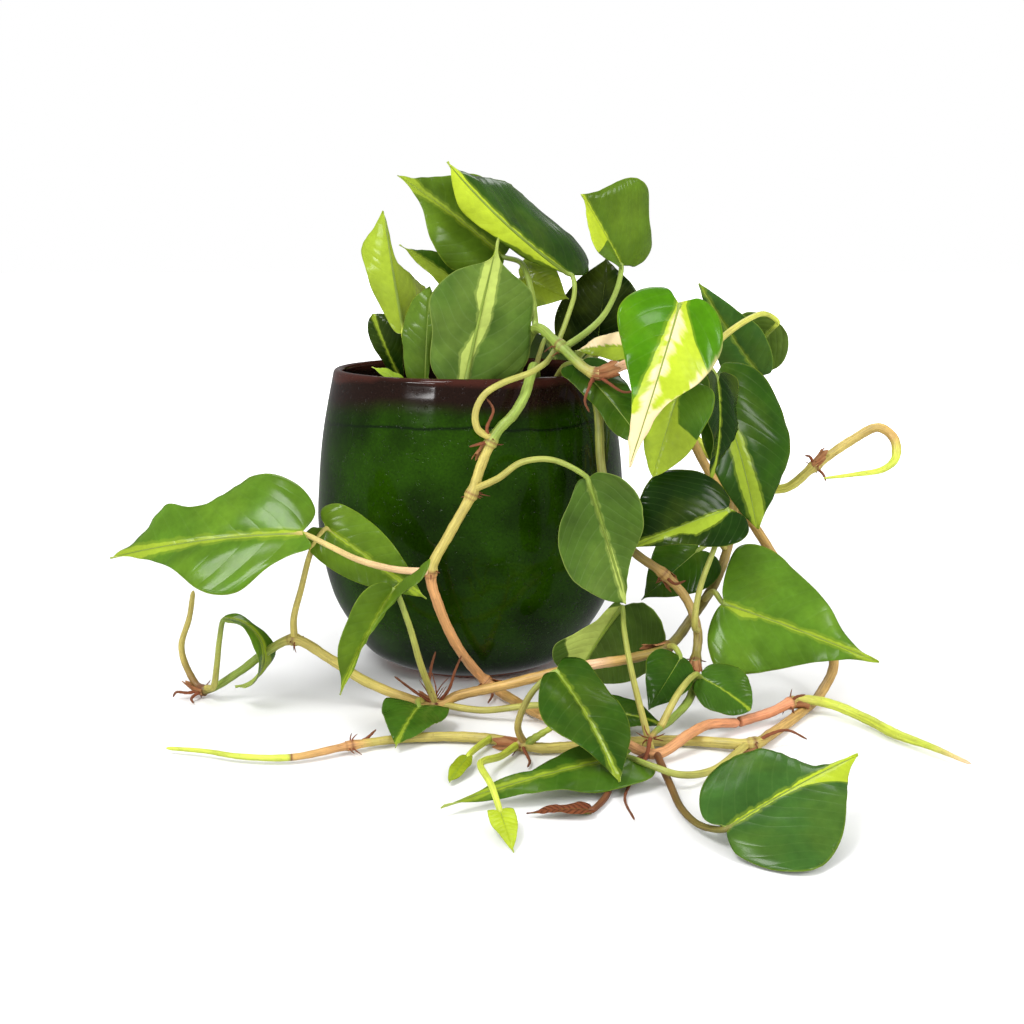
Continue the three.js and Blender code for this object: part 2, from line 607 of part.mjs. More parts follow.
// Leaves. "on" is the vine that the stalk grows from, or the potting mix; "stalk" starts on its axis.
const LEAVES = {
  lime_fold: {
    finish: FINISH.lime,
    on: "soil",
    stalk: [[-22, -24, 133], [-29, -29, 157]],
    base: [-32, -32, 174],
    tip: [-41, -28, 233],
    face: [-0.2, -1, 0],
    outline: [
      [[0.06, 0.02], [0.13, 0.15], [0.2, 0.35], [0.22, 0.56], [0.25, 0.74], [0.1, 0.89]],
      [[0.14, 0.03], [0.38, 0.18], [0.56, 0.33], [0.36, 0.46], [0.12, 0.6], [0.04, 0.8]],
    ],
    fold: [0.1, -1.2],
    bend: 0.2,
  },
  lime_behind: {
    finish: FINISH.lime,
    on: "soil",
    stalk: [[4, -6, 133], [8, -4, 165]],
    base: [3, 4, 191],
    tip: [-36, 0, 217],
    face: [0, -0.8, 0.7],
    width: 0.45,
    fold: [0.4, 0.4],
    bend: 0.3,
  },
  narrow_upright: {
    finish: FINISH.mid,
    on: "soil",
    stalk: [[-19, -38, 133]],
    base: [-21, -43, 148],
    tip: [-18, -41, 197],
    face: [-0.3, -1, 0],
    outline: [
      [[0.1, -0.02], [0.21, 0.12], [0.25, 0.34], [0.26, 0.62], [0.21, 0.82], [0.1, 0.93]],
      [[0.04, 0], [0.04, 0.14], [0.05, 0.34], [0.07, 0.58], [0.05, 0.78], [0.03, 0.92]],
    ],
    fold: [0.1, -0.2],
    bend: 0.2,
  },
  dark_left: {
    finish: FINISH.dark,
    on: "soil",
    stalk: [[-30, -12, 133]],
    base: [-35, -16, 150],
    tip: [-48, -20, 183],
    face: [-0.3, -0.9, 0.3],
    outline: [
      [[0.07, 0.04], [0.11, 0.2], [0.13, 0.4], [0.16, 0.6], [0.16, 0.77], [0.1, 0.92]],
      [[0.08, 0.06], [0.14, 0.22], [0.23, 0.42], [0.33, 0.62], [0.33, 0.8], [0.16, 0.94]],
    ],
  },
  rim_sprout: {
    finish: FINISH.mid,
    on: "soil",
    stalk: [[-24, -44, 133]],
    base: [-32, -47, 150],
    tip: [-46, -50, 159],
    face: [0.3, -0.7, 0.8],
    width: 0.5,
  },
  broad_underside: {
    finish: FINISH.under,
    on: "soil",
    stalk: [[2, -46, 133]],
    base: [-1, -56, 151],
    tip: [15, -52, 220],
    face: [-0.1, 1, 0.15],
    outline: [
      [[0.15, 0.03], [0.33, 0.14], [0.39, 0.29], [0.36, 0.49], [0.31, 0.7], [0.06, 0.85]],
      [[0.14, -0.02], [0.25, 0.08], [0.29, 0.3], [0.35, 0.52], [0.23, 0.72], [0.03, 0.85]],
    ],
    fold: [-0.1, -0.1],
    bend: 0.45,
    curl: -0.3,
    hook: -0.03,
  },
  upper_left: {
    finish: FINISH.dark,
    on: "left_vine",
    stalk: [[33, -45, 177], [31, -33, 194], [26, -20, 208]],
    base: [17, -12, 211],
    tip: [-34, -28, 250],
    face: [0.1, -1, 0.3],
    outline: [
      [[0.1, -0.02], [0.23, 0.12], [0.34, 0.32], [0.27, 0.55], [0.1, 0.72], [0.03, 0.87]],
      [[0.1, 0], [0.22, 0.14], [0.35, 0.33], [0.34, 0.53], [0.16, 0.75], [0.05, 0.9]],
    ],
    fold: [0.3, 0.3],
    bend: 0.5,
  },
  upper_long: {
    finish: FINISH.mid,
    on: "front_vine",
    stalk: [
      [13, -87, 129],
      [6, -91, 134],
      [5, -93, 142],
      [9, -93, 150],
      [17, -91, 155],
      [29, -86, 159],
      [36, -74, 162],
      [39, -60, 163.5],
      [43, -48, 169],
      [49, -42, 184],
      [52, -36, 194],
    ],
    base: [51, -31, 202],
    tip: [-9, -48, 255],
    face: [0.56, -0.5, 0.63],
    outline: [
      [[0.03, 0.02], [0.05, 0.16], [0.08, 0.33], [0.13, 0.53], [0.12, 0.71], [0.06, 0.88]],
      [[0.2, -0.1], [0.42, -0.05], [0.44, 0.17], [0.52, 0.38], [0.38, 0.63], [0.12, 0.85]],
    ],
    fold: [-1, 0.15],
    bend: -0.3,
    curl: 0.5,
  },
  centre_pale: {
    finish: FINISH.lime,
    on: "soil",
    stalk: [[22, -14, 133], [24, -12, 170]],
    base: [26, -8, 200],
    tip: [50, -16, 190],
    face: [0, -1, 0.3],
    width: 1.1,
  },
  centre_dark: {
    finish: FINISH.dark,
    on: "soil",
    stalk: [[50, 0, 133], [58, 2, 152]],
    base: [66, 4, 168],
    tip: [70, 2, 211],
    face: [0.1, -1, 0.3],
    width: 1.1,
    full: 0.5,
  },
  upper_right: {
    finish: FINISH.mid,
    on: "left_vine",
    stalk: [[46, -63, 169], [57, -56, 176], [66, -46, 184], [73, -36, 197]],
    base: [75, -29, 207],
    tip: [54, -50, 240],
    face: [0.25, -1, 0.1],
    outline: [
      [[0.06, 0], [0.14, 0.16], [0.28, 0.38], [0.34, 0.55], [0.2, 0.74], [0.05, 0.88]],
      [[0.2, -0.2], [0.46, -0.16], [0.54, 0.16], [0.71, 0.46], [0.6, 0.74], [0.18, 0.89]],
    ],
    fold: [0.9, 0.1],
    bend: 0.3,
  },
  cream_heart: {
    finish: FINISH.cream,
    on: "left_vine",
    stalk: [[92, -59, 163], [96, -72, 176]],
    base: [97, -86, 190],
    tip: [73, -114, 120],
    face: [0.1, -1, 0.3],
    outline: [
      [[0.1, -0.07], [0.22, -0.01], [0.3, 0.18], [0.24, 0.4], [0.08, 0.62], [0.03, 0.83]],
      [[0.1, -0.08], [0.25, 0.01], [0.33, 0.18], [0.22, 0.4], [0.11, 0.63], [0.05, 0.84]],
    ],
    fold: [0.2, 0.25],
    bend: 0.35,
  },
  far_right_dull: {
    finish: FINISH.dark,
    on: "hook_vine",
    stalk: [[138, -4, 98], [146, 4, 122]],
    base: [151, 4, 150],
    tip: [116, -10, 198],
    face: [-0.5, -0.8, 0.3],
    outline: [
      [[0.1, -0.08], [0.22, -0.04], [0.25, 0.16], [0.19, 0.42], [0.11, 0.66], [0.05, 0.85]],
      [[0.08, -0.03], [0.16, 0.07], [0.22, 0.24], [0.23, 0.46], [0.14, 0.7], [0.05, 0.88]],
    ],
  },
  far_right_under: {
    finish: FINISH.under,
    on: "left_vine",
    stalk: [[108, -43, 155], [124, -38, 172], [140, -24, 181], [152, -4, 182]],
    base: [160, 8, 177],
    tip: [136, 22, 145],
    face: [0.1, 1, 0.2],
    outline: [
      [[0.07, -0.01], [0.2, 0.04], [0.38, 0.17], [0.4, 0.38], [0.28, 0.63], [0.11, 0.86]],
      [[0.08, 0], [0.22, 0.08], [0.36, 0.25], [0.4, 0.46], [0.29, 0.68], [0.1, 0.88]],
    ],
  },
  right_big: {
    finish: FINISH.mid,
    on: "left_vine",
    stalk: [[112, -40, 152], [117, -40, 158]],
    base: [120, -44, 153],
    tip: [140.7, -58, 81],
    face: [0.35, -0.9, 0.3],
    outline: [
      [[0.12, -0.08], [0.3, 0.01], [0.4, 0.24], [0.37, 0.5], [0.28, 0.72], [0.08, 0.91]],
      [[0.1, -0.06], [0.17, 0.04], [0.2, 0.22], [0.22, 0.42], [0.2, 0.64], [0.08, 0.87]],
    ],
    fold: [0.2, 0.15],
    bend: 0.4,
  },
  right_folded: {
    finish: FINISH.dark,
    on: "left_vine",
    stalk: [[103, -48, 159], [112, -54, 162]],
    base: [118, -64, 155],
    tip: [115, -72, 106],
    face: [0.8, -0.6, 0.2],
    width: 0.66,
    lobes: 0.5,
    fold: [0.3, 0.4],
  },
  right_lime: {
    finish: FINISH.mid,
    on: "left_vine",
    stalk: [[98, -53, 161], [101, -68, 161]],
    base: [99, -79, 152],
    tip: [86, -90, 112],
    face: [-0.1, -1, 0.3],
    outline: [
      [[0.16, -0.09], [0.34, -0.04], [0.4, 0.15], [0.36, 0.39], [0.29, 0.66], [0.12, 0.9]],
      [[0.05, -0.04], [0.09, 0.1], [0.12, 0.28], [0.18, 0.46], [0.2, 0.66], [0.09, 0.89]],
    ],
  },
  rim_droop: {
    finish: FINISH.dark,
    on: "soil",
    stalk: [[38, -36, 133], [42, -44, 150], [47, -53, 160]],
    base: [52, -62, 161],
    tip: [80.6, -92, 128.4],
    face: [0.1, -0.8, 0.6],
    outline: [
      [[0.14, 0], [0.24, 0.1], [0.26, 0.31], [0.21, 0.55], [0.17, 0.77], [0.09, 0.93]],
      [[0.1, -0.08], [0.17, 0.02], [0.16, 0.2], [0.14, 0.45], [0.17, 0.71], [0.1, 0.91]],
    ],
    bend: 0.4,
    fold: [0.1, 0.1],
  },
  front_underside: {
    finish: FINISH.under,
    on: "front_vine",
    stalk: [[4, -89, 106], [15, -95, 112], [26, -98, 120], [40, -98, 121]],
    base: [56, -94, 112],
    tip: [73.6, -104, 55.5],
    face: [0.1, 1, 0.1],
    outline: [
      [[0.08, 0], [0.19, 0.13], [0.32, 0.29], [0.38, 0.5], [0.33, 0.73], [0.16, 0.92]],
      [[0.11, -0.02], [0.27, 0.06], [0.37, 0.25], [0.33, 0.48], [0.14, 0.69], [0.05, 0.87]],
    ],
    fold: [-0.1, -0.2],
    bend: 0.3,
  },
  middle_glossy: {
    finish: FINISH.dark,
    on: "hanging_vine",
    stalk: [[109, -87, 38], [106, -98, 44], [108, -97, 60], [115, -94, 80]],
    base: [122, -86, 96],
    tip: [76, -96, 80],
    face: [0, -0.85, 0.5],
    outline: [
      [[0.12, -0.1], [0.27, -0.06], [0.35, 0.1], [0.29, 0.35], [0.17, 0.58], [0.08, 0.8]],
      [[0.12, -0.06], [0.3, 0.01], [0.46, 0.2], [0.55, 0.46], [0.42, 0.7], [0.17, 0.88]],
    ],
    fold: [0.35, 0.3],
  },
  middle_low: {
    finish: FINISH.dark,
    on: "left_vine",
    stalk: [[128, -48, 68], [122, -52, 74]],
    base: [112, -58, 70],
    tip: [84, -68, 48],
    face: [0, -1, 0.4],
    width: 0.9,
  },
  low_hanging: {
    finish: FINISH.mid,
    on: "front_vine",
    stalk: [[81, -158, 4], [78, -140, 16], [75, -119, 29], [73, -101, 43]],
    base: [73, -88, 50],
    tip: [52, -82, 13],
    face: [0, 1, 0.2],
    outline: [
      [[0.08, -0.02], [0.12, 0.13], [0.16, 0.32], [0.27, 0.55], [0.41, 0.76], [0.3, 0.95]],
      [[0.16, -0.2], [0.42, -0.12], [0.64, 0.13], [0.69, 0.42], [0.57, 0.72], [0.27, 0.92]],
    ],
    fold: [0.1, 0.1],
  },
  floor_pointed: {
    finish: FINISH.mid,
    on: "floor_vine",
    stalk: [[27, -146, 3.8], [24, -153, 15], [30, -154, 30]],
    base: [40.5, -150, 38],
    tip: [64, -196, 6.8],
    face: [0.2, -0.6, 0.7],
    outline: [
      [[0.12, -0.12], [0.2, -0.04], [0.24, 0.18], [0.25, 0.45], [0.22, 0.7], [0.06, 0.92]],
      [[0.1, 0.02], [0.22, 0.17], [0.31, 0.36], [0.31, 0.55], [0.14, 0.73], [0.04, 0.88]],
    ],
    fold: [0.3, 0.35],
  },
  floor_tucked: {
    finish: FINISH.dark,
    on: "left_vine",
    stalk: [[-12, -97, 5], [8, -105, 5], [34, -111, 9.5], [52, -116, 9]],
    base: [62, -119, 9],
    tip: [90, -126, 5],
    face: [0, -0.5, 1],
    width: 0.7,
  },
  floor_long: {
    finish: FINISH.mid,
    on: "floor_vine",
    stalk: [[124, -145, 3.8], [103, -176, 3.5], [88, -188, 7], [78, -184, 9]],
    base: [68, -174, 9],
    tip: [-6.1, -214, 4],
    face: [0, -0.4, 1],
    outline: [
      [[0.1, -0.1], [0.2, -0.02], [0.21, 0.12], [0.18, 0.3], [0.13, 0.5], [0.04, 0.78]],
      [[0.06, -0.08], [0.11, 0.02], [0.12, 0.17], [0.12, 0.32], [0.05, 0.52], [0.03, 0.78]],
    ],
    fold: [0.25, 0.2],
    bend: 0.2,
  },
  floor_right: {
    finish: FINISH.dark,
    on: "front_vine",
    stalk: [[83, -158, 4], [85, -189, 3.2], [87, -214, 3], [92, -231, 4]],
    base: [99, -243, 8.2],
    tip: [154, -212, 24.4],
    face: [-0.05, -0.42, 0.9],
    outline: [
      [[0.14, -0.05], [0.31, 0.07], [0.42, 0.3], [0.33, 0.57], [0.1, 0.73], [0.03, 0.87]],
      [[0.15, -0.06], [0.38, 0.03], [0.5, 0.2], [0.42, 0.46], [0.23, 0.68], [0.06, 0.87]],
    ],
    fold: [0.1, 0.2],
    bend: 0.25,
  },
  low_folded: {
    finish: FINISH.mid,
    on: "hanging_vine",
    stalk: [[86, -142, 10], [95, -131, 22], [104, -117, 26]],
    base: [108, -109, 22],
    tip: [129, -120, 10],
    face: [0, -0.6, 0.8],
    outline: [
      [[0.12, -0.04], [0.3, 0.02], [0.48, 0.26], [0.5, 0.5], [0.38, 0.75], [0.16, 0.93]],
      [[0.12, -0.04], [0.3, 0.02], [0.48, 0.26], [0.5, 0.5], [0.38, 0.75], [0.16, 0.93]],
    ],
    fold: [0.35, 0.3],
  },
  right_wide: {
    finish: FINISH.mid,
    on: "left_vine",
    stalk: [[115, -64, 47], [118, -76, 54]],
    base: [121.3, -84, 50.4],
    tip: [192, -99, 26],
    face: [0, -0.85, 0.5],
    outline: [
      [[0.16, -0.05], [0.39, -0.03], [0.44, 0.18], [0.33, 0.41], [0.22, 0.6], [0.05, 0.82]],
      [[0.13, -0.04], [0.31, 0.01], [0.43, 0.14], [0.33, 0.35], [0.18, 0.6], [0.05, 0.83]],
    ],
    fold: [0.15, 0.2],
    bend: 0.3,
  },
  low_right_dark: {
    finish: FINISH.dark,
    on: "left_vine",
    stalk: [[94, -91, 31], [97, -97, 33]],
    base: [99, -104, 30],
    tip: [82, -130, 14],
    face: [0.35, -0.55, 0.75],
    outline: [
      [[0.08, -0.02], [0.18, 0.05], [0.28, 0.2], [0.3, 0.42], [0.22, 0.66], [0.08, 0.87]],
      [[0.08, -0.02], [0.2, 0.05], [0.33, 0.2], [0.36, 0.42], [0.26, 0.66], [0.09, 0.87]],
    ],
  },
  left_big: {
    finish: FINISH.mid,
    on: "front_vine",
    stalk: [[-16, -93, 68], [-32, -105, 72], [-48, -111, 78], [-60, -111, 84]],
    base: [-73, -107, 89],
    tip: [-166, -86, 73],
    face: [0, -0.75, 0.65],
    outline: [
      [[0.09, -0.05], [0.17, 0.13], [0.29, 0.28], [0.28, 0.44], [0.12, 0.64], [0.03, 0.84]],
      [[0.13, -0.05], [0.27, 0.06], [0.33, 0.28], [0.19, 0.53], [0.22, 0.72], [0.08, 0.88]],
    ],
    fold: [0.25, 0.2],
    bend: 0.4,
  },
  left_centre: {
    finish: FINISH.mid,
    on: "left_vine",
    stalk: [[-81, -88, 34], [-80, -94, 46], [-76, -96, 60], [-70, -95, 80]],
    base: [-64, -91, 88],
    tip: [-18, -98, 56],
    face: [0.1, -1, 0.3],
    width: 0.5,
    full: 0.4,
  },
  left_pleated: {
    finish: FINISH.mid,
    on: "left_vine",
    stalk: [[-14, -97, 5], [-20, -110, 28], [-25, -116, 50]],
    base: [-31, -118, 66],
    tip: [-55, -128, 20],
    face: [-0.4, -0.9, 0.3],
    outline: [
      [[0.05, -0.17], [0.14, -0.36], [0.19, -0.16], [0.07, 0.12], [0.04, 0.4], [0.03, 0.72]],
      [[0.1, 0], [0.2, 0.1], [0.25, 0.28], [0.22, 0.48], [0.15, 0.69], [0.05, 0.87]],
    ],
    fold: [0.5, 1.2],
  },
  low_small: {
    finish: FINISH.dark,
    on: "left_vine",
    stalk: [[-20, -96, 7], [-22, -104, 9]],
    base: [-21, -112, 9],
    tip: [-29, -148, 3],
    face: [0, -0.6, 0.8],
    width: 0.8,
  },
  left_curled: {
    finish: FINISH.mid,
    on: "left_vine",
    stalk: [[-127, -73, 5], [-122, -80, 8], [-119, -84, 20], [-117, -85, 33]],
    base: [-114.5, -85, 43],
    tip: [-110.6, -85, 10],
    face: [0.95, -0.18, 0.05],
    outline: [
      [[0.05, 0.01], [0.1, 0.12], [0.13, 0.3], [0.2, 0.54], [0.2, 0.75], [0.08, 0.92]],
      [[0.05, 0.01], [0.1, 0.12], [0.13, 0.3], [0.2, 0.54], [0.2, 0.75], [0.08, 0.92]],
    ],
    bend: 3.2,
  },
  yellow_baby: {
    finish: FINISH.lime,
    on: "floor_vine",
    stalk: [[24, -146, 3.8], [17, -160, 4], [10, -176, 8], [9, -192, 12], [14, -214, 12]],
    base: [17, -222, 6],
    tip: [22, -248, 1.5],
    face: [0, 0, 1],
    width: 0.4,
    lobes: 0.2,
    bend: 0.1,
    fold: [0.3, 0.3],
  },
  pale_shoot: {
    finish: FINISH.lime,
    on: "floor_vine",
    stalk: [[12, -138, 3.5], [6, -150, 3.5]],
    base: [3, -160, 4],
    tip: [-4, -184, 2],
    face: [0, -0.4, 1],
    outline: [
      [[0.05, 0], [0.1, 0.08], [0.14, 0.26], [0.15, 0.46], [0.12, 0.68], [0.06, 0.88]],
      [[0.05, 0], [0.1, 0.08], [0.14, 0.26], [0.15, 0.46], [0.12, 0.68], [0.06, 0.88]],
    ],
    bend: 0.1,
  },
  dried_leaf: {
    finish: FINISH.dry,
    on: "front_vine",
    stalk: [[80, -158, 4], [66, -172, 1.8], [58, -200, 1.8]],
    base: [52, -212, 2],
    tip: [27, -215, 2],
    face: [0, 0, 1],
    width: 0.4,
    lobes: 0.2,
    bend: 0.3,
  },
  rim_pale: {
    finish: FINISH.cream,
    on: "left_vine",
    stalk: [[77, -69, 162], [81, -56, 166]],
    base: [78, -46, 168],
    tip: [52, -42, 166],
    face: [0, -0.8, 0.6],
    width: 0.6,
  },
  back_high: {
    finish: FINISH.mid,
    on: "soil",
    stalk: [[4, 20, 133], [2, 26, 165]],
    base: [4, 30, 190],
    tip: [24, 58, 160],
    face: [0.2, 0.7, 0.7],
  },
  back_left: {
    finish: FINISH.dark,
    on: "soil",
    stalk: [[-20, 16, 133], [-26, 24, 152]],
    base: [-30, 30, 171],
    tip: [-47, 74, 148],
    face: [-0.3, 0.5, 0.9],
  },
  back_right: {
    finish: FINISH.mid,
    on: "soil",
    stalk: [[30, 30, 133], [36, 44, 156]],
    base: [40, 54, 166],
    tip: [54, 92, 124],
    face: [0.3, 0.8, 0.6],
  },
  back_hanging_high: {
    finish: FINISH.mid,
    on: "back_vine",
    stalk: [[-30, 87, 140], [-34, 95, 142]],
    base: [-36, 102, 136],
    tip: [-58, 99, 76],
    face: [-0.2, 1, 0.3],
  },
  back_hanging_mid: {
    finish: FINISH.dark,
    on: "back_vine",
    stalk: [[-18, 93, 98], [-6, 99, 104]],
    base: [2, 103, 102],
    tip: [28, 98, 44],
    face: [0.2, 1, 0.3],
  },
  back_hanging_low: {
    finish: FINISH.mid,
    on: "back_vine",
    stalk: [[-16, 93, 58], [-28, 102, 62]],
    base: [-36, 104, 58],
    tip: [-58, 98, 8],
    face: [-0.1, 1, 0.3],
  },
};

// A vine joined with the aerial roots and shoots that grow from it; "grown" as above
function vineWithRoots(vine, grown = 0) {
  const parts = [vineSolid(vine, grown)];
  for (const root of vine.roots ?? []) {
    parts.push(twig(root, ROOT_RADIUS + grown, ROOT_TIP_RADIUS + grown, ROOT_STEP, ROOT_SIDES));
  }
  for (const shoot of vine.shoots ?? []) {
    parts.push(twig(shoot, SHOOT_RADIUS + grown, SHOOT_TIP_RADIUS + grown, ROOT_STEP, STALK_SIDES));
  }
  return kernel.Manifold.union(parts);
}

// The main body of a cut piece, without the crumbs that the cut leaves
function mainBody(cut) {
  const bodies = cut.simplify(FINEST_DETAIL).decompose();
  return bodies.reduce((a, b) => (a.volume() > b.volume() ? a : b));
}

// A blade and its stalk as one body, cut to a seat where the stalk meets the vine or the mix
function leafSolid(leaf, seat) {
  const rows = bladeRows(leaf);
  const under = rows[1][2].clone().lerp(rows[2][2], 0.5);
  const stalkPath = [...leaf.stalk, leaf.base, under.toArray()];
  const stalk = twig(stalkPath, STALK_RADIUS, STALK_TIP_RADIUS, STALK_STEP, STALK_SIDES);
  return mainBody(kernel.Manifold.union([bladeSolid(leaf), stalk]).subtract(seat));
}

const plant = new THREE.Group();
plant.name = "potted_trailing_heart_leaf_plant";

const potBody = pot();
const soilBody = soil();
plant.add(piece("pot", potBody, FINISH.glaze));
plant.add(piece("potting_mix", soilBody, FINISH.soil));

const soilSeat = soilBody.translate([0, 0, SEAT_GAP]);
for (const [name, vine] of Object.entries(VINES)) {
  plant.add(piece(name, mainBody(vineWithRoots(vine).subtract(soilSeat)), vine.finish));
}
for (const [name, leaf] of Object.entries(LEAVES)) {
  const seat = leaf.on === "soil" ? soilSeat : vineWithRoots(VINES[leaf.on], SEAT_GAP);
  plant.add(piece("leaf_" + name, leafSolid(leaf, seat), leaf.finish));
}

export default plant;
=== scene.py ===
"""A trailing heart-leaf houseplant in a round glazed pot: its looks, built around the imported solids.

Lengths in the tables are in millimetres, and become metres when a mesh is made. The pot stands on z = 0
with its axis on the Z axis, and the front is -Y.
"""

import logging
import math
import random
from collections.abc import Sequence
from dataclasses import dataclass, field
from enum import Enum, IntEnum

import bpy
import numpy as np
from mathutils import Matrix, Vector

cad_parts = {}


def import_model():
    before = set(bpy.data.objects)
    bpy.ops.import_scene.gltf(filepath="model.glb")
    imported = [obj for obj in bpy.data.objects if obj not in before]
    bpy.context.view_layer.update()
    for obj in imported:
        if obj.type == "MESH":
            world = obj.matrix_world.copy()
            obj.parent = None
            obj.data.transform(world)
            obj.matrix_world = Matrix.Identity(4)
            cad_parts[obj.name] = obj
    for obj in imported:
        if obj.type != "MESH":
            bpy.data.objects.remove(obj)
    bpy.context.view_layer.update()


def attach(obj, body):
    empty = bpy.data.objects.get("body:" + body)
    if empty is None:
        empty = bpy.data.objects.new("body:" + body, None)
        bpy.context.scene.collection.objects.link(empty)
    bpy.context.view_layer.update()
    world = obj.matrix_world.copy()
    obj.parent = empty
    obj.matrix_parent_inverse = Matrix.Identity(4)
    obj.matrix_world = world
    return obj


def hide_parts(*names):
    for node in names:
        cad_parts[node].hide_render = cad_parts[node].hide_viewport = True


LOG = logging.getLogger("houseplant")
MM = 0.001

Pair = tuple[float, float]
Triple = tuple[float, float, float]
Path = tuple[Triple, ...]
Band = tuple[Triple, ...]
Margin = tuple[Pair, ...]


def linear(red: float, green: float, blue: float) -> Triple:
    """The linear colour of three display values from 0 to 255."""
    return tuple(((v / 255 + 0.055) / 1.055) ** 2.4 if v > 10 else v / 3294.6 for v in (red, green, blue))


class Shade(Enum):
    """Ground colours of the leaf blades; the two darkest also carry painted shade."""

    # Dark green blackened for the shadow that the surrounding leaves cast: painted shade.
    NIGHT = linear(10, 24, 3)
    # Dark green darkened further for the shade among the leaves: partly the leaf's own colour, partly painted
    # shade.
    DEEP = linear(20, 42, 6)
    DARK = linear(38, 68, 12)
    MID = linear(56, 90, 22)
    FRESH = linear(74, 108, 26)
    OLIVE = linear(72, 98, 22)
    VIVID = linear(60, 108, 5)
    BLUE = linear(52, 86, 32)
    GREY = linear(74, 100, 28)
    PALE = linear(118, 142, 40)
    LIME = linear(134, 150, 30)
    DRY = linear(112, 60, 34)


class Tone(Enum):
    """Colours along vines, stalks and roots."""

    STRAW = linear(180, 166, 84)
    TAN = linear(186, 150, 84)
    APRICOT = linear(204, 150, 94)
    PINK = linear(212, 142, 100)
    BLUSH = linear(232, 190, 150)
    GREEN = linear(132, 154, 62)
    LIME = linear(188, 200, 66)
    OLIVE = linear(116, 112, 48)
    BROWN = linear(112, 66, 38)
    RUST = linear(132, 68, 38)


class Slot(Enum):
    """The record's material slots."""

    POT = "glazed_pot"
    MIX = "potting_mix"
    STEM = "stem"
    PINK_STEM = "pink_stem"
    LEAF = "leaf"
    LIME_LEAF = "lime_leaf"
    CREAM_LEAF = "cream_leaf"
    UNDERSIDE = "leaf_underside"
    DRY_LEAF = "dry_leaf"


class LeafWear(IntEnum):
    """Numbers of a leaf's finishes, in the order of its materials."""

    FACE = 0
    BACK = 1
    STALK = 2


class VineWear(IntEnum):
    """Numbers of a vine's finishes, in the order of its materials."""

    SKIN = 0
    ROOT = 1
    SHEATH = 2


class MixWear(IntEnum):
    """Numbers of the potting mix's finishes, in the order of its materials."""

    CRUMB = 0
    CHIP = 1


# Smooth curves


def hermite(
    start: np.ndarray, end: np.ndarray, leave: np.ndarray, arrive: np.ndarray, share: np.ndarray
) -> np.ndarray:
    """Points of a cubic from its two ends and its two end slopes.

    Args:
        start: Points that the spans start from.
        end: Points that the spans end at.
        leave: Slopes at the starts.
        arrive: Slopes at the ends.
        share: How far along each span the point lies, from 0 to 1.

    Returns:
        One point for each span.
    """
    square, cube = share**2, share**3
    bend = -3 * start + 3 * end - 2 * leave - arrive
    turn = 2 * start - 2 * end + leave + arrive
    return start + leave * share + bend * square + turn * cube


def spans_of(count: int, at: np.ndarray) -> tuple[np.ndarray, np.ndarray]:
    """The span that each place falls in, and how far along it.

    Args:
        count: How many points the curve goes through.
        at: Places along the curve, counted in points.

    Returns:
        The numbers of the spans, and the shares along them as a column.
    """
    span = np.clip(np.floor(at).astype(int), 0, count - 2)
    return span, (at - span)[:, None]


def even_curve(points: Sequence[Sequence[float]], at: np.ndarray) -> np.ndarray:
    """A smooth curve through points spaced evenly in its own measure.

    Args:
        points: What the curve goes through.
        at: Places along it, counted in points.

    Returns:
        The curve's points at those places.
    """
    known = np.array(points, float)
    span, share = spans_of(len(known), at)
    last = len(known) - 1
    before, start = known[np.maximum(span - 1, 0)], known[span]
    end, after = known[np.minimum(span + 1, last)], known[np.minimum(span + 2, last)]
    return hermite(start, end, (end - before) / 2, (after - start) / 2, share)


def stem_curve(points: Sequence[Sequence[float]], at: np.ndarray) -> np.ndarray:
    """A smooth curve through points at uneven distances, without loops or overshoot.

    Args:
        points: What the curve goes through.
        at: Places along it, counted in points.

    Returns:
        The curve's points at those places.
    """
    known = np.array(points, float)
    known = np.vstack([2 * known[0] - known[1], known, 2 * known[-1] - known[-2]])
    span, share = spans_of(len(known) - 2, at)
    before, start, end, after = (known[span + k] for k in range(4))
    first, middle, third = (
        np.maximum(np.linalg.norm(b - a, axis=1), 1e-6)[:, None] ** 0.5
        for a, b in ((before, start), (start, end), (end, after))
    )
    leave = (start - before) / first - (end - before) / (first + middle) + (end - start) / middle
    arrive = (end - start) / middle - (after - start) / (middle + third) + (after - end) / third
    return hermite(start, end, leave * middle, arrive * middle, share)


def places_along(points: Sequence[Sequence[float]], step: float) -> np.ndarray:
    """Places along a curve, at most a step apart, counted in points.

    Args:
        points: What the curve goes through.
        step: The longest distance between two places, in millimetres.

    Returns:
        The places, from 0 to the last point.
    """
    known = np.array(points, float)
    counts = [max(2, math.ceil(np.linalg.norm(b - a) / step)) for a, b in zip(known, known[1:])]
    parts = [i + np.arange(n) / n for i, n in enumerate(counts)]
    return np.append(np.concatenate(parts), len(known) - 1.0)


# Meshes

GRAIN_ALONG = 0.02
TINY = 1e-9
GROOVE_ANGLE = 0.5


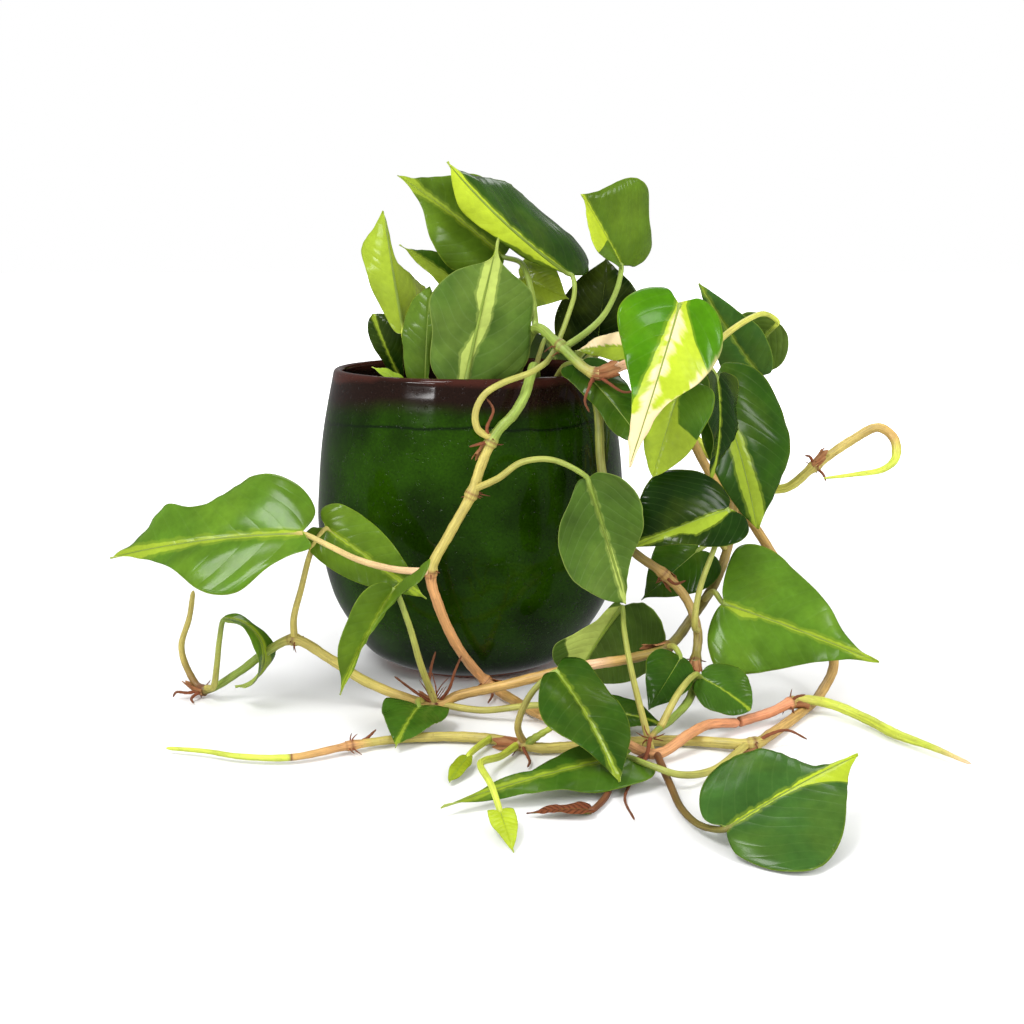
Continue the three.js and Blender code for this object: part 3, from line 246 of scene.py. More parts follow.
@dataclass
class Skin:
    """A mesh in the making: its points and faces, and the fields that the finishes read at each point."""

    points: list[np.ndarray] = field(default_factory=list)
    fields: dict[str, list[np.ndarray]] = field(
        default_factory=lambda: {"tone": [], "grain": [], "blade": [], "patch": []}
    )
    faces: list[tuple[int, ...]] = field(default_factory=list)
    dressed: list[int] = field(default_factory=list)
    count: int = 0

    def add(self, points: np.ndarray, faces: dict[int, list[tuple[int, ...]]], **fields: np.ndarray) -> None:
        """Adds a closed body.

        Args:
            points: Its points in millimetres.
            faces: Its faces, as numbers of its own points, for each number of a finish.
            fields: Values of the named fields, for each point or for all of them.
        """
        self.points.append(points)
        for name, kept in self.fields.items():
            kept.append(np.broadcast_to(fields.get(name, np.zeros(3)), (len(points), 3)))
        for dress, worn in faces.items():
            self.faces += [tuple(corner + self.count for corner in face) for face in worn]
            self.dressed += [int(dress)] * len(worn)
        self.count += len(points)

    def made(self, name: str, finishes: Sequence[bpy.types.Material]) -> bpy.types.Object:
        """The object with this mesh.

        Args:
            name: The piece's name.
            finishes: The materials, in the order of their numbers.

        Returns:
            The object, linked to the scene.
        """
        mesh = bpy.data.meshes.new(name)
        mesh.from_pydata((np.concatenate(self.points) * MM).tolist(), [], self.faces)
        for finish in finishes:
            mesh.materials.append(finish)
        mesh.polygons.foreach_set("material_index", self.dressed)
        mesh.polygons.foreach_set("use_smooth", [True] * len(self.faces))
        for key, kept in self.fields.items():
            values = np.concatenate(kept).astype(np.float32)
            mesh.attributes.new(key, "FLOAT_VECTOR", "POINT").data.foreach_set("vector", values.ravel())
        mesh.update()
        piece = bpy.data.objects.new(name, mesh)
        bpy.context.scene.collection.objects.link(piece)
        return piece


def placed(piece: bpy.types.Object, slot: Slot, *nodes: str) -> bpy.types.Object:
    """Hangs a piece on the body, in the place of its solids.

    Args:
        piece: The finished piece.
        slot: The record's material slot; not used.
        nodes: The solids that it stands for.

    Returns:
        The same piece.
    """
    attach(piece, "root")
    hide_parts(*nodes)
    LOG.info("%s: %d faces, for %s", piece.name, len(piece.data.polygons), ", ".join(nodes))
    return piece


def across_of(centres: np.ndarray) -> tuple[np.ndarray, np.ndarray]:
    """Two directions across a path at each of its points, that turn with it and never spin.

    Args:
        centres: The path's points.

    Returns:
        The two directions, for each point.
    """
    along = np.gradient(centres, axis=0)
    along /= np.maximum(np.linalg.norm(along, axis=1), TINY)[:, None]
    steep = abs(along[0][2]) >= 0.8
    across = np.cross((1.0, 0.0, 0.0) if steep else (0.0, 0.0, 1.0), along[0])
    first = np.empty_like(centres)
    for i, tangent in enumerate(along):
        across = across - tangent * across.dot(tangent)
        across = across / np.linalg.norm(across)
        first[i] = across
    return first, np.cross(along, first)


def around_path(centres: np.ndarray, reach: np.ndarray, angle: np.ndarray) -> np.ndarray:
    """Points around a path.

    Args:
        centres: The path's points.
        reach: How far out each point lies, in a row for each of the path's points.
        angle: Where round the path each point lies.

    Returns:
        A grid of points.
    """
    first, second = across_of(centres)
    out = np.cos(angle)[..., None] * first[:, None, :] + np.sin(angle)[..., None] * second[:, None, :]
    return centres[:, None, :] + reach[..., None] * out


def grid_faces(rows: int, columns: int, start: int = 0, closed: bool = False) -> list[tuple[int, ...]]:
    """Faces of a grid of points, row after row.

    Args:
        rows: How many rows of points there are.
        columns: How many points a row has.
        start: The number of the first point.
        closed: Whether the last point of a row joins the first.

    Returns:
        Four-cornered faces.
    """
    return [
        (
            start + row * columns + i,
            start + row * columns + (i + 1) % columns,
            start + (row + 1) * columns + (i + 1) % columns,
            start + (row + 1) * columns + i,
        )
        for row in range(rows - 1)
        for i in range(columns if closed else columns - 1)
    ]


def fans(start: int, sides: int, first: int, second: int) -> list[tuple[int, ...]]:
    """Faces that close a ringed body with a fan at each end.

    Args:
        start: The number of the first point of the last ring.
        sides: How many points a ring has.
        first: The number of the middle point at the first ring.
        second: The number of the middle point at the last ring.

    Returns:
        Three-cornered faces.
    """
    around = [(i, (i + 1) % sides) for i in range(sides)]
    return [(b, a, first) for a, b in around] + [(start + a, start + b, second) for a, b in around]


def tube(
    centres: np.ndarray, radii: np.ndarray, sides: int, groove: float = 0.0
) -> tuple[np.ndarray, list, np.ndarray]:
    """A closed round body along a path.

    Args:
        centres: The path's points.
        radii: The radius at each of them.
        sides: How many points go round.
        groove: How deep a channel runs along it, as a share of the radius.

    Returns:
        The points, the faces and the grain: coordinates round and along the tube.
    """
    angle = np.arange(sides) * 2 * math.pi / sides
    channel = 1 - groove * np.exp(-((np.minimum(angle, 2 * math.pi - angle) / GROOVE_ANGLE) ** 2))
    ring = around_path(centres, radii[:, None] * channel[None, :], angle[None, :])
    length = np.append(0, np.cumsum(np.linalg.norm(np.diff(centres, axis=0), axis=1)))
    around = np.cos(angle)[None, :], np.sin(angle)[None, :]
    grain = np.stack(np.broadcast_arrays(*around, length[:, None] * GRAIN_ALONG), 2)
    faces = grid_faces(len(centres), sides, closed=True)
    last = (len(centres) - 1) * sides
    faces += [tuple(reversed(range(sides))), tuple(last + i for i in range(sides))]
    return ring.reshape(-1, 3), faces, grain.reshape(-1, 3)


def sheet_normals(grid: np.ndarray) -> np.ndarray:
    """The direction that a grid of points faces, at each point."""
    normals = np.cross(np.gradient(grid, axis=1), np.gradient(grid, axis=0))
    return normals / np.maximum(np.linalg.norm(normals, axis=2), TINY)[..., None]


def thin_body(grid: np.ndarray, thickness: np.ndarray) -> tuple[np.ndarray, list, list]:
    """A closed thin body around a grid of points on its middle surface.

    Args:
        grid: Rows of points on the middle surface.
        thickness: The thickness at each point.

    Returns:
        The points, the faces of the top and the faces of the back and the edge.
    """
    rows, columns = grid.shape[:2]
    shift = sheet_normals(grid) * (thickness / 2)[..., None]
    points = np.concatenate([(grid + shift).reshape(-1, 3), (grid - shift).reshape(-1, 3)])
    count = rows * columns
    top = grid_faces(rows, columns)
    back = [tuple(corner + count for corner in reversed(face)) for face in top]
    rim = [*range(columns - 1), *range(columns - 1, count - 1, columns)]
    rim += [*range(count - 1, count - columns, -1), *range(count - columns, 0, -columns)]
    back += [(b, a, a + count, b + count) for a, b in zip(rim, rim[1:] + rim[:1])]
    return points, top, back


# Finishes


class Bench:
    """One material, and the nodes that make its pattern."""

    def __init__(self, name: str, **settings: float) -> None:
        """Makes the material.

        Args:
            name: The material's name.
            settings: Even values of the shader's own sockets, with _ for a space.
        """
        self.material = bpy.data.materials.new(name)
        self.material.use_nodes = True
        self.nodes = self.material.node_tree.nodes
        self.links = self.material.node_tree.links
        self.shader = self.nodes["Principled BSDF"]
        for key, value in settings.items():
            self.shader.inputs[key.replace("_", " ")].default_value = value

    def put(self, socket: bpy.types.NodeSocket, value: object) -> None:
        """Links a socket to another, or gives it a plain value."""
        if isinstance(value, bpy.types.NodeSocket):
            self.links.new(value, socket)
        else:
            plain = socket.type == "RGBA" and len(value) == 3
            socket.default_value = (*value, 1.0) if plain else value

    def add(self, kind: str, inputs: dict[int, object], **settings: object) -> bpy.types.Node:
        """Adds a node.

        Args:
            kind: The node's type, after ShaderNode.
            inputs: What its sockets get, by their numbers.
            settings: The node's own settings.

        Returns:
            The node.
        """
        node = self.nodes.new("ShaderNode" + kind)
        for key, value in settings.items():
            setattr(node, key, value)
        for number, value in inputs.items():
            self.put(node.inputs[number], value)
        return node

    def calc(self, operation: str, *values: object) -> bpy.types.NodeSocket:
        """The result of a sum of one or more values."""
        return self.add("Math", dict(enumerate(values)), operation=operation).outputs[0]

    def read(self, name: str) -> bpy.types.NodeSocket:
        """A field of the mesh, as a colour or vector."""
        return self.add("Attribute", {}, attribute_name=name).outputs["Vector"]

    def split(self, vector: bpy.types.NodeSocket) -> Sequence[bpy.types.NodeSocket]:
        """The three parts of a vector."""
        return self.add("SeparateXYZ", {0: vector}).outputs

    def place(self) -> bpy.types.NodeSocket:
        """The point in the row frame."""
        return self.add("TexCoord", {}).outputs["Object"]

    def noise(self, vector: bpy.types.NodeSocket, scale: float, detail: float = 2.0) -> bpy.types.NodeSocket:
        """Cloudy values around 0.5."""
        return self.add("TexNoise", {0: vector, 2: scale, 3: detail}).outputs[0]

    def ease(self, value: object, low: float, high: float) -> bpy.types.NodeSocket:
        """A smooth step from 0 at low to 1 at high."""
        return self.add("MapRange", {0: value, 1: low, 2: high}, interpolation_type="SMOOTHSTEP").outputs[0]

    def span(self, value: object, low: float, high: float) -> bpy.types.NodeSocket:
        """A value from 0 to 1 spread evenly between low and high."""
        return self.add("MapRange", {0: value, 1: 0.0, 2: 1.0, 3: low, 4: high}).outputs[0]

    def blend(self, share: object, first: object, second: object) -> bpy.types.NodeSocket:
        """A colour between two colours."""
        return self.add("Mix", {0: share, 6: first, 7: second}, data_type="RGBA").outputs[2]

    def dim(self, colour: object, factor: object) -> bpy.types.NodeSocket:
        """A colour made brighter or darker."""
        return self.add("VectorMath", {0: colour, 3: factor}, operation="SCALE").outputs[0]

    def relief(self, height: bpy.types.NodeSocket, depth: float) -> None:
        """Bumps the surface by a height from 0 to 1, of a depth in metres."""
        bump = self.add("Bump", {})
        bump.inputs["Distance"].default_value = depth
        self.put(bump.inputs["Height"], height)
        self.put(self.shader.inputs["Normal"], bump.outputs[0])

    def done(self, colour: object, roughness: object) -> bpy.types.Material:
        """Links the colour and the roughness, and hands over the material."""
        self.put(self.shader.inputs["Base Color"], colour)
        self.put(self.shader.inputs["Roughness"], roughness)
        return self.material


@dataclass(frozen=True)
class BladeFinish:
    """The living surface of a blade: ground colour, side veins, and lime and cream patches."""

    name: str
    cast: Triple
    cast_share: float
    lime_dull: Triple
    lime_bright: Triple
    cream: Triple
    vein: Triple
    vein_share: float
    roughness: float
    relief: float
    shine: float = 0.17
    yellowing: float = 0.09
    cloud_scale: float = 60.0
    fleck_scale: float = 420.0
    field_scale: float = 34.0
    field_edges: Pair = (0.44, 0.66)
    clouds_on_green: Pair = (0.4, 1.6)
    clouds_on_pale: Pair = (0.7, 1.26)
    flecks: Pair = (0.84, 1.16)
    along_veins: Triple = (1.5, 3.0, 2.5)
    feathering: float = 0.16
    halo: Pair = (-0.022, -0.008)
    halo_share: float = 0.55
    lime_edge: Pair = (-0.003, 0.004)
    cream_edge: Pair = (-0.02, 0.03)
    margin_from: float = 0.965
    pale_margin: float = 0.35
    cloud_relief: float = 2.4
    fleck_relief: float = 0.18
    gloss_range: float = 0.1

    def vein_line(self, b: Bench) -> tuple[object, object]:
        """Where the arching side veins run.

        Args:
            b: The material's bench.

        Returns:
            How much of a vein there is, and the height of the surface between two veins.
        """
        phase, side, _ = b.split(b.read("grain"))
        swing = b.calc("ABSOLUTE", b.calc("SINE", b.calc("MULTIPLY", phase, math.pi)))
        line = b.calc("SUBTRACT", 1.0, b.ease(swing, 0.0, 0.3))
        return b.calc("MULTIPLY", line, b.ease(side, 0.005, 0.05)), b.calc("POWER", swing, 0.6)

    def ragged_edge(self, b: Bench, flecks: object, lime: object) -> object:
        """How far the edge of a patch strays, in feathers that run between the side veins.

        Args:
            b: The material's bench.
            flecks: The fine pattern.
            lime: How far inside the lime patch the point lies.

        Returns:
            The distance, in blade lengths.
        """
        drawn = b.add("VectorMath", {0: b.read("grain"), 1: self.along_veins}, operation="MULTIPLY")
        stray = b.calc("SUBTRACT", b.noise(drawn.outputs[0], 1.0, 3.0), 0.5)
        feather = b.calc("MULTIPLY", stray, self.feathering)
        ragged = b.calc("MULTIPLY_ADD", b.calc("SUBTRACT", flecks, 0.5), 0.02, feather)
        return b.calc("MULTIPLY", ragged, b.span(b.ease(lime, 0.0, 0.03), 0.35, 1.0))

    def made(self) -> bpy.types.Material:
        """The material."""
        b = Bench(self.name, Specular_IOR_Level=self.shine)
        place = b.place()
        reach = b.split(b.read("blade"))[2]
        lime, cream, bright = b.split(b.read("patch"))
        clouds, flecks = b.noise(place, self.cloud_scale, 3.0), b.noise(place, self.fleck_scale, 3.0)
        fields = b.ease(b.noise(place, self.field_scale, 4.0), *self.field_edges)
        grit = b.span(flecks, *self.flecks)
        line, hump = self.vein_line(b)
        ground = b.blend(self.cast_share, b.read("tone"), self.cast)
        ground = b.blend(b.calc("MULTIPLY", fields, self.yellowing), ground, self.lime_dull)
        ground = b.dim(b.dim(ground, b.span(clouds, *self.clouds_on_green)), grit)
        ground = b.blend(b.calc("MULTIPLY", line, self.vein_share), ground, self.vein)
        ragged = self.ragged_edge(b, flecks, lime)
        wide, near = b.calc("ADD", lime, ragged), b.calc("MULTIPLY_ADD", ragged, 0.5, lime)
        half = b.blend(0.5, ground, self.lime_dull)
        colour = b.blend(b.calc("MULTIPLY", b.ease(wide, *self.halo), self.halo_share), ground, half)
        pale = b.blend(bright, self.lime_dull, self.lime_bright)
        pale = b.dim(b.dim(pale, b.span(clouds, *self.clouds_on_pale)), grit)
        colour = b.blend(b.ease(near, *self.lime_edge), colour, pale)
        colour = b.blend(b.ease(b.calc("ADD", cream, ragged), *self.cream_edge), colour, self.cream)
        margin = b.calc("MULTIPLY", b.ease(reach, self.margin_from, 1.0), self.pale_margin)
        colour = b.blend(margin, colour, self.lime_dull)
        height = b.calc("MULTIPLY_ADD", flecks, self.fleck_relief, hump)
        height = b.calc("MULTIPLY_ADD", clouds, self.cloud_relief, height)
        b.relief(height, self.relief * MM)
        low, high = self.roughness - self.gloss_range, self.roughness + self.gloss_range
        return b.done(colour, b.span(b.noise(place, 140.0), low, high))


UPPER = BladeFinish(
    name="leaf_upper",
    cast=linear(60, 110, 30),
    cast_share=0.0,
    lime_dull=linear(134, 154, 42),
    lime_bright=linear(160, 178, 42),
    cream=linear(216, 194, 150),
    vein=linear(104, 134, 66),
    vein_share=0.06,
    roughness=0.19,
    relief=0.08,
)
BACK = BladeFinish(
    name="leaf_back",
    cast=linear(70, 92, 30),
    cast_share=0.6,
    lime_dull=linear(158, 174, 84),
    lime_bright=linear(154, 172, 74),
    cream=linear(216, 210, 172),
    vein=linear(112, 134, 82),
    vein_share=0.12,
    roughness=0.5,
    relief=0.14,
    shine=0.12,
)
DRY_BLADE = BladeFinish(
    name="leaf_dry",
    cast=linear(96, 50, 30),
    cast_share=0.4,
    lime_dull=linear(150, 96, 56),
    lime_bright=linear(150, 96, 56),
    cream=linear(170, 130, 90),
    vein=linear(70, 38, 24),
    vein_share=0.6,
    roughness=0.8,
    relief=0.9,
)


@dataclass(frozen=True)
class StemFinish:
    """Skin of a vine, stalk or root: its tone with streaks along it."""

    name: str
    streaks: float
    roughness: float
    relief: float
    patches: Pair = (0.7, 1.3)
    scars: float = 0.45
    scar_edges: Pair = (0.56, 0.68)
    specks: float = 0.35
    speck_edges: Pair = (0.62, 0.72)

    def made(self) -> bpy.types.Material:
        """The material."""
        b = Bench(self.name)
        grain, place = b.read("grain"), b.place()
        streak, flecks = b.noise(grain, 3.2, 3.0), b.noise(place, 1100.0, 2.0)
        patch = b.noise(place, 130.0, 2.0)
        colour = b.dim(b.read("tone"), b.span(streak, 1 - self.streaks, 1 + self.streaks))
        colour = b.dim(colour, b.span(patch, *self.patches))
        scar = b.calc("MULTIPLY", b.ease(b.noise(grain, 6.5, 4.0), *self.scar_edges), self.scars)
        colour = b.blend(scar, colour, Tone.BROWN.value)
        speck = b.calc("MULTIPLY", b.ease(flecks, *self.speck_edges), self.specks)
        colour = b.blend(speck, colour, Tone.BROWN.value)
        b.relief(b.calc("MULTIPLY_ADD", flecks, 0.3, streak), self.relief * MM)
        return b.done(colour, b.span(patch, self.roughness - 0.1, self.roughness + 0.12))


STEM = StemFinish(name="stem_skin", streaks=0.6, roughness=0.42, relief=0.25)
ROOT = StemFinish(name="root_bark", streaks=0.7, roughness=0.85, relief=0.4)


@dataclass(frozen=True)
class Glaze:
    """Deep green speckled glaze that runs off a brown lip, over a brown foot."""

    name: str = "pot_glaze"
    green: Triple = linear(14, 32, 1)
    light_green: Triple = linear(31, 60, 2)
    dark: Triple = linear(8, 20, 6)
    lip: Triple = linear(56, 28, 22)
    collar: Triple = linear(26, 15, 11)
    foot: Triple = linear(14, 26, 14)
    clay: Triple = linear(128, 66, 44)
    lip_height: float = 0.1512
    collar_end: float = 0.1385
    run_height: float = 0.1308
    foot_height: float = 0.03
    clay_height: float = 0.0035
    collar_fade: Pair = (-0.004, 0.006)
    lip_fade: Pair = (-0.001, 0.0025)
    clay_fade: float = -0.0012
    bare_fade: Pair = (0.0005, -0.001)
    shine: float = 0.2
    cloud_edges: Pair = (0.3, 0.75)
    specks: Pair = (0.45, 1.55)
    collar_specks: Pair = (0.6, 1.4)
    pit_edges: Pair = (0.3, 0.36)
    run_width: float = 0.0012
    run_wander: float = 0.014
    run_share: float = 0.85
    relief: float = 0.00022
    gloss: Pair = (0.03, 0.13)
    bare_roughness: float = 0.6

    def made(self) -> bpy.types.Material:
        """The material."""
        b = Bench(self.name, Specular_IOR_Level=self.shine)
        place = b.place()
        height = b.split(place)[2]
        clouds, specks = b.noise(place, 34.0, 4.0), b.noise(place, 900.0, 3.0)
        waves = b.noise(place, 20.0, 3.0)
        wavy = b.calc("MULTIPLY_ADD", b.calc("SUBTRACT", waves, 0.5), self.run_wander, height)
        colour = b.blend(b.ease(clouds, *self.cloud_edges), self.green, self.light_green)
        colour = b.dim(colour, b.span(specks, *self.specks))
        colour = b.blend(b.ease(wavy, self.foot_height, 0.0), colour, self.foot)
        beside = b.calc("ABSOLUTE", b.calc("SUBTRACT", wavy, self.run_height))
        line = b.calc("SUBTRACT", 1.0, b.ease(beside, 0.0, self.run_width))
        colour = b.blend(b.calc("MULTIPLY", line, self.run_share), colour, self.dark)
        above = b.ease(wavy, *(self.collar_end + fade for fade in self.collar_fade))
        colour = b.blend(above, colour, b.dim(self.collar, b.span(specks, *self.collar_specks)))
        over = b.ease(wavy, *(self.lip_height + fade for fade in self.lip_fade))
        colour = b.blend(over, colour, self.lip)
        bottom = b.ease(height, self.clay_height, self.clay_height + self.clay_fade)
        colour = b.blend(bottom, colour, self.clay)
        pits = b.ease(b.noise(place, 420.0, 1.0), *self.pit_edges)
        b.relief(b.calc("MULTIPLY_ADD", waves, 2.0, pits), self.relief)
        rough = b.span(clouds, *self.gloss)
        bare = b.ease(height, *(self.clay_height + fade for fade in self.bare_fade))
        return b.done(colour, b.calc("MULTIPLY_ADD", bare, self.bare_roughness, rough))


@dataclass(frozen=True)
class Loose:
    """A dry, crumbly surface: potting mix."""

    name: str = "potting_mix_crumb"
    dark: Triple = linear(44, 32, 24)
    light: Triple = linear(96, 70, 48)
    relief: float = 0.0012

    def made(self) -> bpy.types.Material:
        """The material."""
        b = Bench(self.name)
        place = b.place()
        lumps, grit = b.noise(place, 160.0, 4.0), b.noise(place, 900.0, 3.0)
        colour = b.dim(b.blend(b.ease(lumps, 0.35, 0.7), self.dark, self.light), b.span(grit, 0.4, 1.6))
        b.relief(b.calc("ADD", lumps, grit), self.relief)
        return b.done(colour, b.span(grit, 0.8, 1.0))


@dataclass(frozen=True)
class Bark:
    """Chips of bark in the mix."""

    name: str = "bark_chip"
    streaks: float = 0.5
    relief: float = 0.0006

    def made(self) -> bpy.types.Material:
        """The material."""
        b = Bench(self.name)
        place = b.place()
        fibre, grit = b.noise(place, 300.0, 4.0), b.noise(place, 1300.0, 2.0)
        colour = b.dim(b.read("tone"), b.span(fibre, 1 - self.streaks, 1 + self.streaks))
        b.relief(b.calc("ADD", fibre, grit), self.relief)
        return b.done(colour, b.span(grit, 0.75, 0.95))


@dataclass(frozen=True)
class Backdrop:
    """The pale floor."""

    name: str = "pale_floor"
    colour: Triple = (0.86, 0.86, 0.86)
    glow: float = 1.0
    glow_from: float = 0.25
    glow_to: float = 1.2

    def made(self) -> bpy.types.Material:
        """The material."""
        b = Bench(self.name)
        place = b.place()
        clouds = b.noise(place, 3.0, 2.0)
        far = b.add("VectorMath", {0: place}, operation="LENGTH").outputs["Value"]
        b.put(b.shader.inputs["Emission Color"], (1.0, 1.0, 1.0))
        glow = b.calc("MULTIPLY", b.ease(far, self.glow_from, self.glow_to), self.glow)
        b.put(b.shader.inputs["Emission Strength"], glow)
        return b.done(b.dim(self.colour, b.span(clouds, 0.985, 1.015)), b.span(clouds, 0.6, 0.7))


# Leaves

OUTLINE = (
    (0, 0), (0.1, -0.1), (0.26, -0.13), (0.42, -0.03), (0.48, 0.14),
    (0.43, 0.34), (0.28, 0.58), (0.11, 0.79), (0.025, 0.91), (0, 1),
)
MIDRIB = (0, 0.03, 0.08, 0.15, 0.26, 0.4, 0.57, 0.76, 0.9, 1)
HALF_WIDTH = 0.48
PLAIN_STRIPE: Band = ((0, -0.012, 0.012), (0.5, -0.014, 0.014), (0.8, -0.022, 0.022), (1, -0.03, 0.03))
THIN_STRIPE: Band = ((0, -0.006, 0.006), (1, -0.005, 0.005))
VEINS = 10.0
VEIN_SLANT = 0.5
VEIN_ARCH = 1.5
LEAST_BEND = 0.001
WAVE_STAGGER = 1.3
HOOK_FROM = 0.6
ROWS = 72
COLUMNS = 37
TIP_INSET = 0.004
EDGE_CROWDING = 1.25
EDGE_THICKNESS = 0.18
MIDDLE_THICKNESS = 0.3
VEIN_STAGGER = 0.35
VEIN_WANDER = 0.16
WANDERS_ACROSS = (4, 14)
WANDERS_ALONG = (4, 12)
FIELD_SWELL = 0.0008
GROOVE_DEPTH = 0.004
GROOVE_WIDTH = 0.013
MARGIN_SWAY = 0.0032
BROAD_SWELL = 0.0055
STALK_STEP = 1.6
STALK_RADII = (1.6, 1.1)
RIB_END = 0.12
RIB_PLACES = (1 / 7, 2 / 7, 0.42, 0.56, 0.7, 0.84, 0.95)
STALK_SIDES = 10


def smooth(value: np.ndarray, low: float, high: float) -> np.ndarray:
    """A smooth step from 0 at low to 1 at high."""
    share = np.clip((value - low) / (high - low), 0, 1)
    return share * share * (3 - 2 * share)


def along_midrib(share: np.ndarray) -> np.ndarray:
    """Distances along the blade at shares of the midrib's own points."""
    return even_curve([(i, y) for i, y in enumerate(MIDRIB)], share * (len(MIDRIB) - 1))[:, 1]


def patch_field(bands: Sequence[Band], x: np.ndarray, y: np.ndarray) -> np.ndarray:
    """How far inside the nearest band each point lies, below 0 outside all of them.

    Args:
        bands: The bands; each gives its left and right edges at some distances from the base.
        x: Distances across the blade.
        y: Distances along it.

    Returns:
        The depth inside, in blade lengths.
    """
    depth = np.full(x.shape, -1.0)
    for band in bands:
        stops, left, right = np.array(band, float).T
        inside = np.minimum(x - np.interp(y, stops, left), np.interp(y, stops, right) - x)
        depth = np.maximum(depth, inside)
    return depth


@dataclass(frozen=True)
class Leaf:
    """One leaf: a stalk and a blade. Shapes on the blade are in shares of its length."""

    name: str
    stalk: Path
    base: Triple
    tip: Triple
    face: Triple
    outline: tuple[Margin, ...] = ()
    width: float = 0.78
    bend: float = 0.5
    curl: float = 0.4
    twist: float = 0.0
    wave: float = 0.02
    waves: float = 2.0
    phase: float = 0.0
    hook: float = 0.0
    lobes: float = 1.0
    full: float = 0.25
    fold: Pair = (0.3, 0.3)
    shade: Shade = Shade.MID
    lime: tuple[Band, ...] = (PLAIN_STRIPE,)
    cream: tuple[Band, ...] = ()
    bright: bool = False
    stalk_tones: tuple[Tone, Tone] = (Tone.STRAW, Tone.GREEN)

    @property
    def node(self) -> str:
        """The name of its solid."""
        return f"leaf_{self.name}"

    def bent(self, x: np.ndarray, y: np.ndarray, edge: np.ndarray) -> np.ndarray:
        """Bends flat points of the blade into its folded, curled and wavy form.

        Args:
            x: Distances across the blade.
            y: Distances along it.
            edge: The half width of the blade there.

        Returns:
            The points, with x along the blade, y across it and z upwards.
        """
        turn = self.bend if abs(self.bend) > LEAST_BEND else LEAST_BEND
        angle = turn * y
        reach = np.minimum(1, np.abs(x) / np.maximum(edge, 0.001))
        lift = np.where(x < 0, self.fold[0], self.fold[1]) - 0.5 * self.curl * reach
        across, up = x * np.cos(lift), np.abs(x) * np.sin(lift)
        ripple = 2 * math.pi * self.waves * y + self.phase + np.where(x < 0, WAVE_STAGGER, 0)
        up = up + self.wave * reach**2 * np.sin(ripple)
        up = up - self.hook * np.maximum(0, (y - HOOK_FROM) / (1 - HOOK_FROM)) ** 2
        roll = self.twist * (y - 0.5)
        across, up = across * np.cos(roll) - up * np.sin(roll), across * np.sin(roll) + up * np.cos(roll)
        along = np.sin(angle) / turn + up * np.sin(angle)
        return np.stack([along, across, (np.cos(angle) - 1) / turn + up * np.cos(angle)], -1)

    def axes(self) -> np.ndarray:
        """The blade's own directions along, across and upwards, as long as the blade."""
        base, tip = np.array(self.base, float), np.array(self.tip, float)
        length = np.linalg.norm(tip - base)
        forward = (tip - base) / length
        upward = np.array(self.face, float) - forward * forward.dot(self.face)
        upward /= np.linalg.norm(upward)
        end = self.bent(np.array(0.0), np.array(1.0), np.array(1.0))
        tilt, size = math.atan2(end[2], end[0]), length / math.hypot(end[0], end[2])
        along = forward * math.cos(tilt) - upward * math.sin(tilt)
        rise = forward * math.sin(tilt) + upward * math.cos(tilt)
        return np.array([along, np.cross(forward, upward), rise]) * size

    def margin(self, side: int, share: np.ndarray) -> tuple[np.ndarray, np.ndarray]:
        """One margin of the blade.

        Args:
            side: 0 for the left margin and 1 for the right one.
            share: Places on it, from 0 at the base to 1 at the tip.

        Returns:
            Half widths there, and distances along the blade.
        """
        if self.outline:
            points = [(0, 0), *self.outline[side], (0, 1)]
            curve = even_curve(points, share * (len(points) - 1))
            return curve[:, 0], curve[:, 1]
        x, y = even_curve(OUTLINE, share * (len(OUTLINE) - 1)).T
        return x * self.width / (2 * HALF_WIDTH), np.where(y < 0, y * self.lobes, y + self.full * y * (1 - y))

    def flat(self) -> tuple[np.ndarray, np.ndarray, np.ndarray, np.ndarray]:
        """The blade laid flat, row after row from the base to the tip.

        Returns:
            Distances across, distances along, half widths, and how near each point is to the margin.
        """
        share = np.linspace(TIP_INSET, 1 - TIP_INSET, ROWS)
        spine = along_midrib(share)
        even = np.linspace(-1, 1, COLUMNS)
        column = np.sign(even) * np.abs(even) ** EDGE_CROWDING
        left, right = self.margin(0, share), self.margin(1, share)
        edge, outer = (np.where(column < 0, a[:, None], b[:, None]) for a, b in zip(left, right))
        y = spine[:, None] + (outer - spine[:, None]) * np.abs(column)
        return edge * column, y, edge, np.broadcast_to(np.abs(column), y.shape)

    def relief(
        self, x: np.ndarray, phase: np.ndarray, reach: np.ndarray, rng: np.random.Generator
    ) -> np.ndarray:
        """Height of the fine forms on the blade: swollen fields between veins, groove, uneven margin.

        Args:
            x: Distances across the blade.
            phase: Numbers of the side veins.
            reach: How near each point is to the margin.
            rng: The leaf's own chance.

        Returns:
            Heights in blade lengths.
        """
        side = np.abs(x)
        swing = np.abs(np.sin(math.pi * phase)) ** 0.7
        height = FIELD_SWELL * (swing - 0.6) * smooth(side, 0.01, 0.09) * (1 - reach**5)
        height = height - GROOVE_DEPTH * np.exp(-((side / GROOVE_WIDTH) ** 2))
        for _ in range(5):
            turns, start = rng.uniform(2.5, 9.0), rng.uniform(0, 2 * math.pi)
            sign = np.where(x < 0, rng.uniform(-1, 1), rng.uniform(-1, 1))
            sway = np.sin(turns * phase / VEINS * 2 * math.pi + start)
            height = height + MARGIN_SWAY * sign * reach**3 * sway
        for _ in range(4):
            crosswise, lengthwise = rng.uniform(-11, 11), rng.uniform(4, 14)
            start = rng.uniform(0, 2 * math.pi)
            swell = np.sin(crosswise * x + lengthwise * phase / VEINS + start)
            height = height + BROAD_SWELL * swell * smooth(side, 0.0, 0.12) * (1 - 0.5 * reach)
        return height

